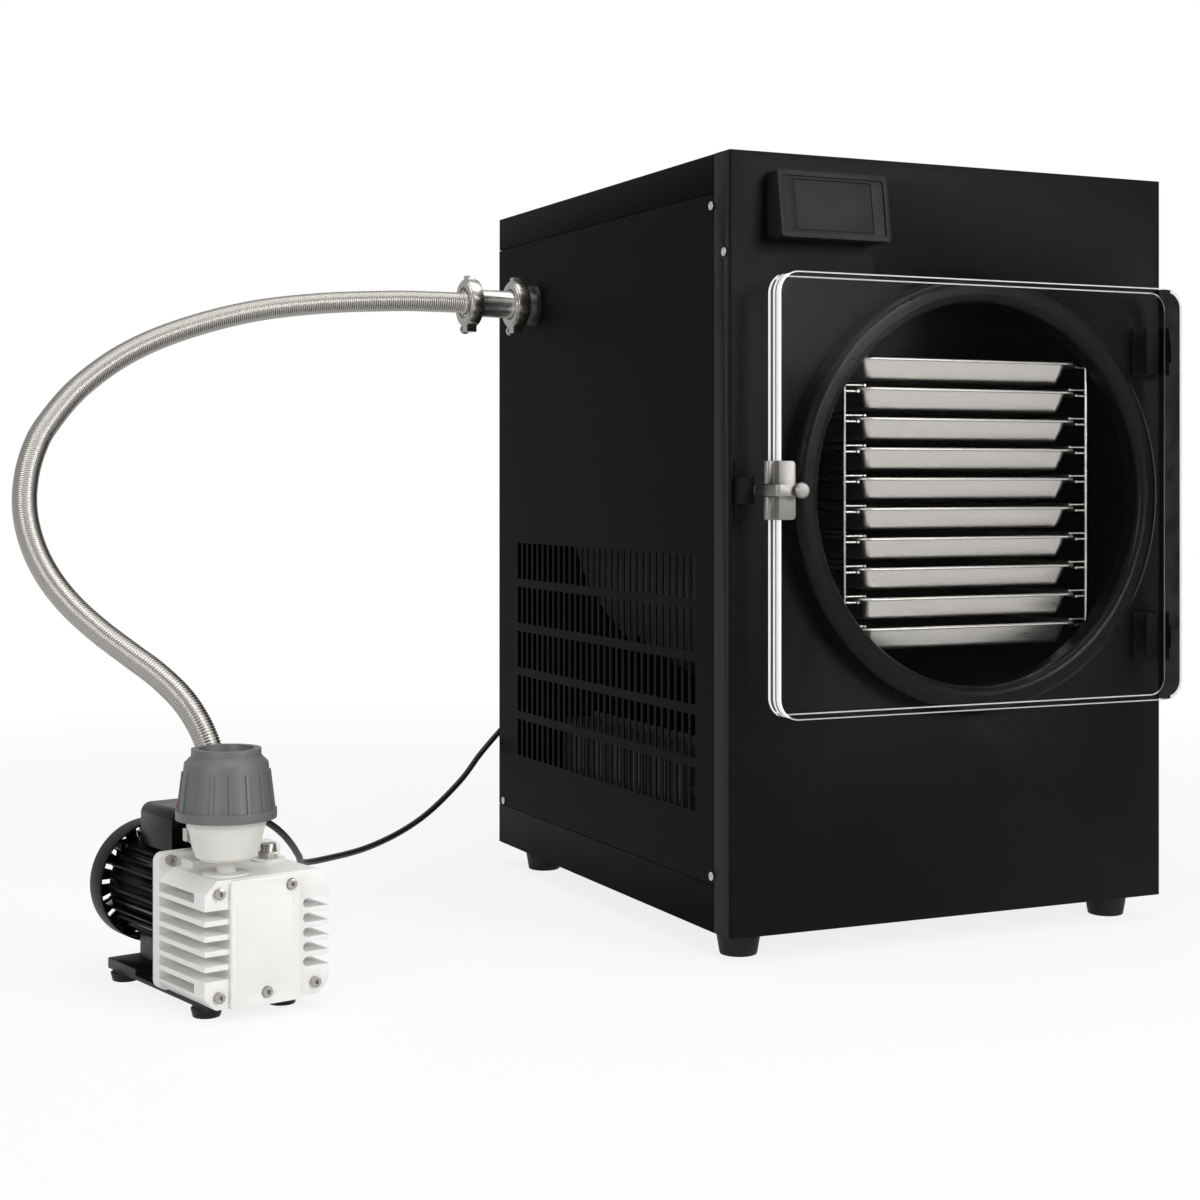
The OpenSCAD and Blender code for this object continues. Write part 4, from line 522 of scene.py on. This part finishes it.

# ---- door ----
# One clear acrylic plate, 25 mm thick, with polished faces and a narrow bevel all round. The
# white lines round its edges are painted highlight: pale ones at the top, the bottom and the
# front of the right edge, glowing ones in bands along the left edge and at the back of the right
# edge, with a grey and a dark band at the left. The rest of the right edge is painted shade,
# nearly opaque black. A black strip behind the hinge side adds painted shade over the gap beside
# the cabinet.
low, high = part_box("door_panel")
door_w, door_t, door_h = high - low
middle = (low + high) / 2
bevel_rear, bevel_front, door_corner = 0.0024, 0.0013, 0.021
rim_rear, rim_front = 0.0012, 0.0026
band_depths = (bevel_rear, 0.007, 0.0115, 0.016, 0.018, door_t - bevel_front)
door_rings = []
for inset, depth in ((bevel_rear + rim_rear, 0), (bevel_rear, 0),
                     *((0, depth) for depth in band_depths),
                     (bevel_front, door_t), (bevel_front + rim_front, door_t)):
    outline = rounded_ring(door_w / 2 - inset, door_h / 2 - inset, door_corner - inset,
                           z=0, steps=12)
    door_rings.append([(middle.x + x, high.y - depth, middle.z + y) for x, y, _ in outline])
door = lofted("door_plate", door_rings)
door.data.set_sharp_from_angle(angle=math.radians(20))


def acrylic(name, shade, alpha, roughness):
    """Plastic that lets through what alpha leaves, a little uneven."""
    made = Finish(name, (shade, shade, shade), roughness, Specular_IOR_Level=0.4)
    cloudy = made.noise(45)
    return made.set(Roughness=cloudy * 0.08 + roughness, Alpha=cloudy * 0.04 + alpha)


acrylic("clear_acrylic", shade=0.008, alpha=0.02, roughness=0.05).on(door)
# Painted glow: bands along the door's left edge and a line at the back of its right edge give off
# light of their own.
lit = acrylic("painted_glow_edge", shade=0.92, alpha=0.9, roughness=0.4)
lit.set(Emission_Color=(1, 1, 1, 1), Emission_Strength=0.28)
# Painted grey band in the door's left edge, between the glowing ones.
grey = acrylic("painted_grey_band", shade=0.30, alpha=0.2, roughness=0.35)
# Painted shade: nearly opaque black on most of the door's right edge and in one band at its left
# edge.
dark = acrylic("painted_shade_edge", shade=0.004, alpha=0.96, roughness=0.6).set(Specular_IOR_Level=0.0)
# Painted highlight: pale, nearly opaque lines at the door's top and bottom and at the front of its
# right edge.
pale = acrylic("painted_highlight_edge", shade=0.66, alpha=0.95, roughness=0.4)
for kind in (lit, grey, dark, pale):
    door.data.materials.append(kind.material)
is_clear, is_lit, is_grey, is_dark, is_pale = range(5)
# One skin for each strip between two rings, from the rear rim to the front rim. Those of the
# left and the right side go round the corners as far as the shares say.
# For each strip these rows give the clear plastic, the painted glow, the painted grey band,
# painted shade and the pale painted highlight.
at_left = (is_clear, is_lit, is_lit, is_grey, is_lit, is_dark, is_lit, is_lit, is_clear)
at_right = (is_lit,) + (is_dark,) * 6 + (is_pale, is_pale)
at_top_and_bottom = (is_pale,) + (is_clear,) * 6 + (is_pale, is_clear)
left_share, right_share = 0.011, 0.017
across = len(door_rings[0])
for face in door.data.polygons:
    strip = face.index // across
    if strip < len(at_left):
        from_middle = face.center.x - middle.x
        skins = at_top_and_bottom
        if from_middle < left_share - door_w / 2:
            skins = at_left
        elif from_middle > door_w / 2 - right_share:
            skins = at_right
        face.material_index = skins[strip]
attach(door, "door")
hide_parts("door_panel")

# Painted shade: a thin black strip on the back of the door along the hinge side keeps the gap
# beside the cabinet dark.
strip_w, strip_t = 0.0085, 0.0007
strip_left = high.x - bevel_rear - strip_w
edge_strip = lofted("door_edge_strip", [
    [(max(x, strip_left), high.y + lift, z) for x, _, z in door_rings[1]]
    for lift in (strip_t, 0)])
edge_strip.data.shade_flat()
painted_shade_strip = Finish("painted_shade_strip", (0.004, 0.004, 0.0042), 0.55, Specular_IOR_Level=0.1)
painted_shade_strip.set(Roughness=painted_shade_strip.noise(80) * 0.1 + painted_shade_strip.roughness).on(edge_strip)
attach(edge_strip, "door")

# ---- hinges ----
# Black steel brackets on the front panel and leaves on the door turn on a through pin. The
# keeper of the latch, at the other side, has the same coat.
hinge_black = Finish("hinge_black", (0.0058, 0.0058, 0.006), 0.5, Specular_IOR_Level=0.08)
hinge_black.grain(900, 0.00008).on(
    *(softened(name, 0.0005) for name in ("hinge_brackets", "hinge_leaves", "latch_keeper")))

# ---- latch ----
# Bent stainless plate on the door's edge, and a lever with a turned knob that hooks behind
# the keeper on the cabinet.
latch_steel = Finish("latch_steel", (0.24, 0.232, 0.218), 0.38, metallic=1.0)
latch_steel.uneven(60, 0.08).on(softened("latch_plate", 0.0005),
                                softened("latch_lever", 0.0008, segments=3))

# ---- pump ----
# Die-cast aluminium block with side fins and a bolted front plate, painted warm white. It stands
# on a moulded black base with four round feet.
casting = Finish("pump_paint", (0.825, 0.82, 0.80), 0.36)
casting.mottled(40, (0.845, 0.84, 0.82), detail=3.0).uneven(30, 0.1).grain(900, 0.00008).on(
    softened("pump_block", 0.0012, segments=3), softened("pump_front_plate", 0.0006))
fitting = Finish("pump_bolts", (0.42, 0.40, 0.37), 0.2, metallic=1.0)
fitting.uneven(300, 0.2).on(softened("pump_fittings", 0.0005), nodes["motor_rotor"])
moulded.on(softened("pump_base", 0.0008))

# ---- pump motor ----
# Finned aluminium housing in gloss black, a pressed cowl over the fan, and a moulded box
# with an orange rocker on top.
enamel = Finish("motor_enamel", (0.0026, 0.0026, 0.0028), 0.2, Specular_IOR_Level=0.24)
enamel.uneven(30, 0.1).on(softened("motor_housing", 0.0005),
                          softened("terminal_box", 0.0012, segments=3))
cowl = Finish("cowl_paint", (0.0085, 0.0085, 0.0088), 0.4, Specular_IOR_Level=0.2)
cowl.grain(900, 0.0001).on(softened("fan_cowl", 0.0006))
orange = Finish("switch_orange", (0.60, 0.065, 0.012), 0.35)
orange.grain(900, 0.00005).on(softened("pump_switch", 0.0005))

# ---- exhaust filter ----
# Bowl moulded in milky polymer, screwed down into the pump's casting. Its ribbed cap is moulded
# in grey plastic and screws on at the top.
bowl = Finish("filter_bowl", (0.69, 0.68, 0.635), 0.35, Subsurface_Weight=0.3,
              Subsurface_Scale=0.004)
bowl.grain(200, 0.0001).on(nodes["filter_bowl"])
cap = Finish("filter_cap", (0.122, 0.127, 0.133), 0.4)
cap.uneven(60, 0.1).grain(900, 0.0001).on(softened("filter_cap", 0.0008, segments=3))
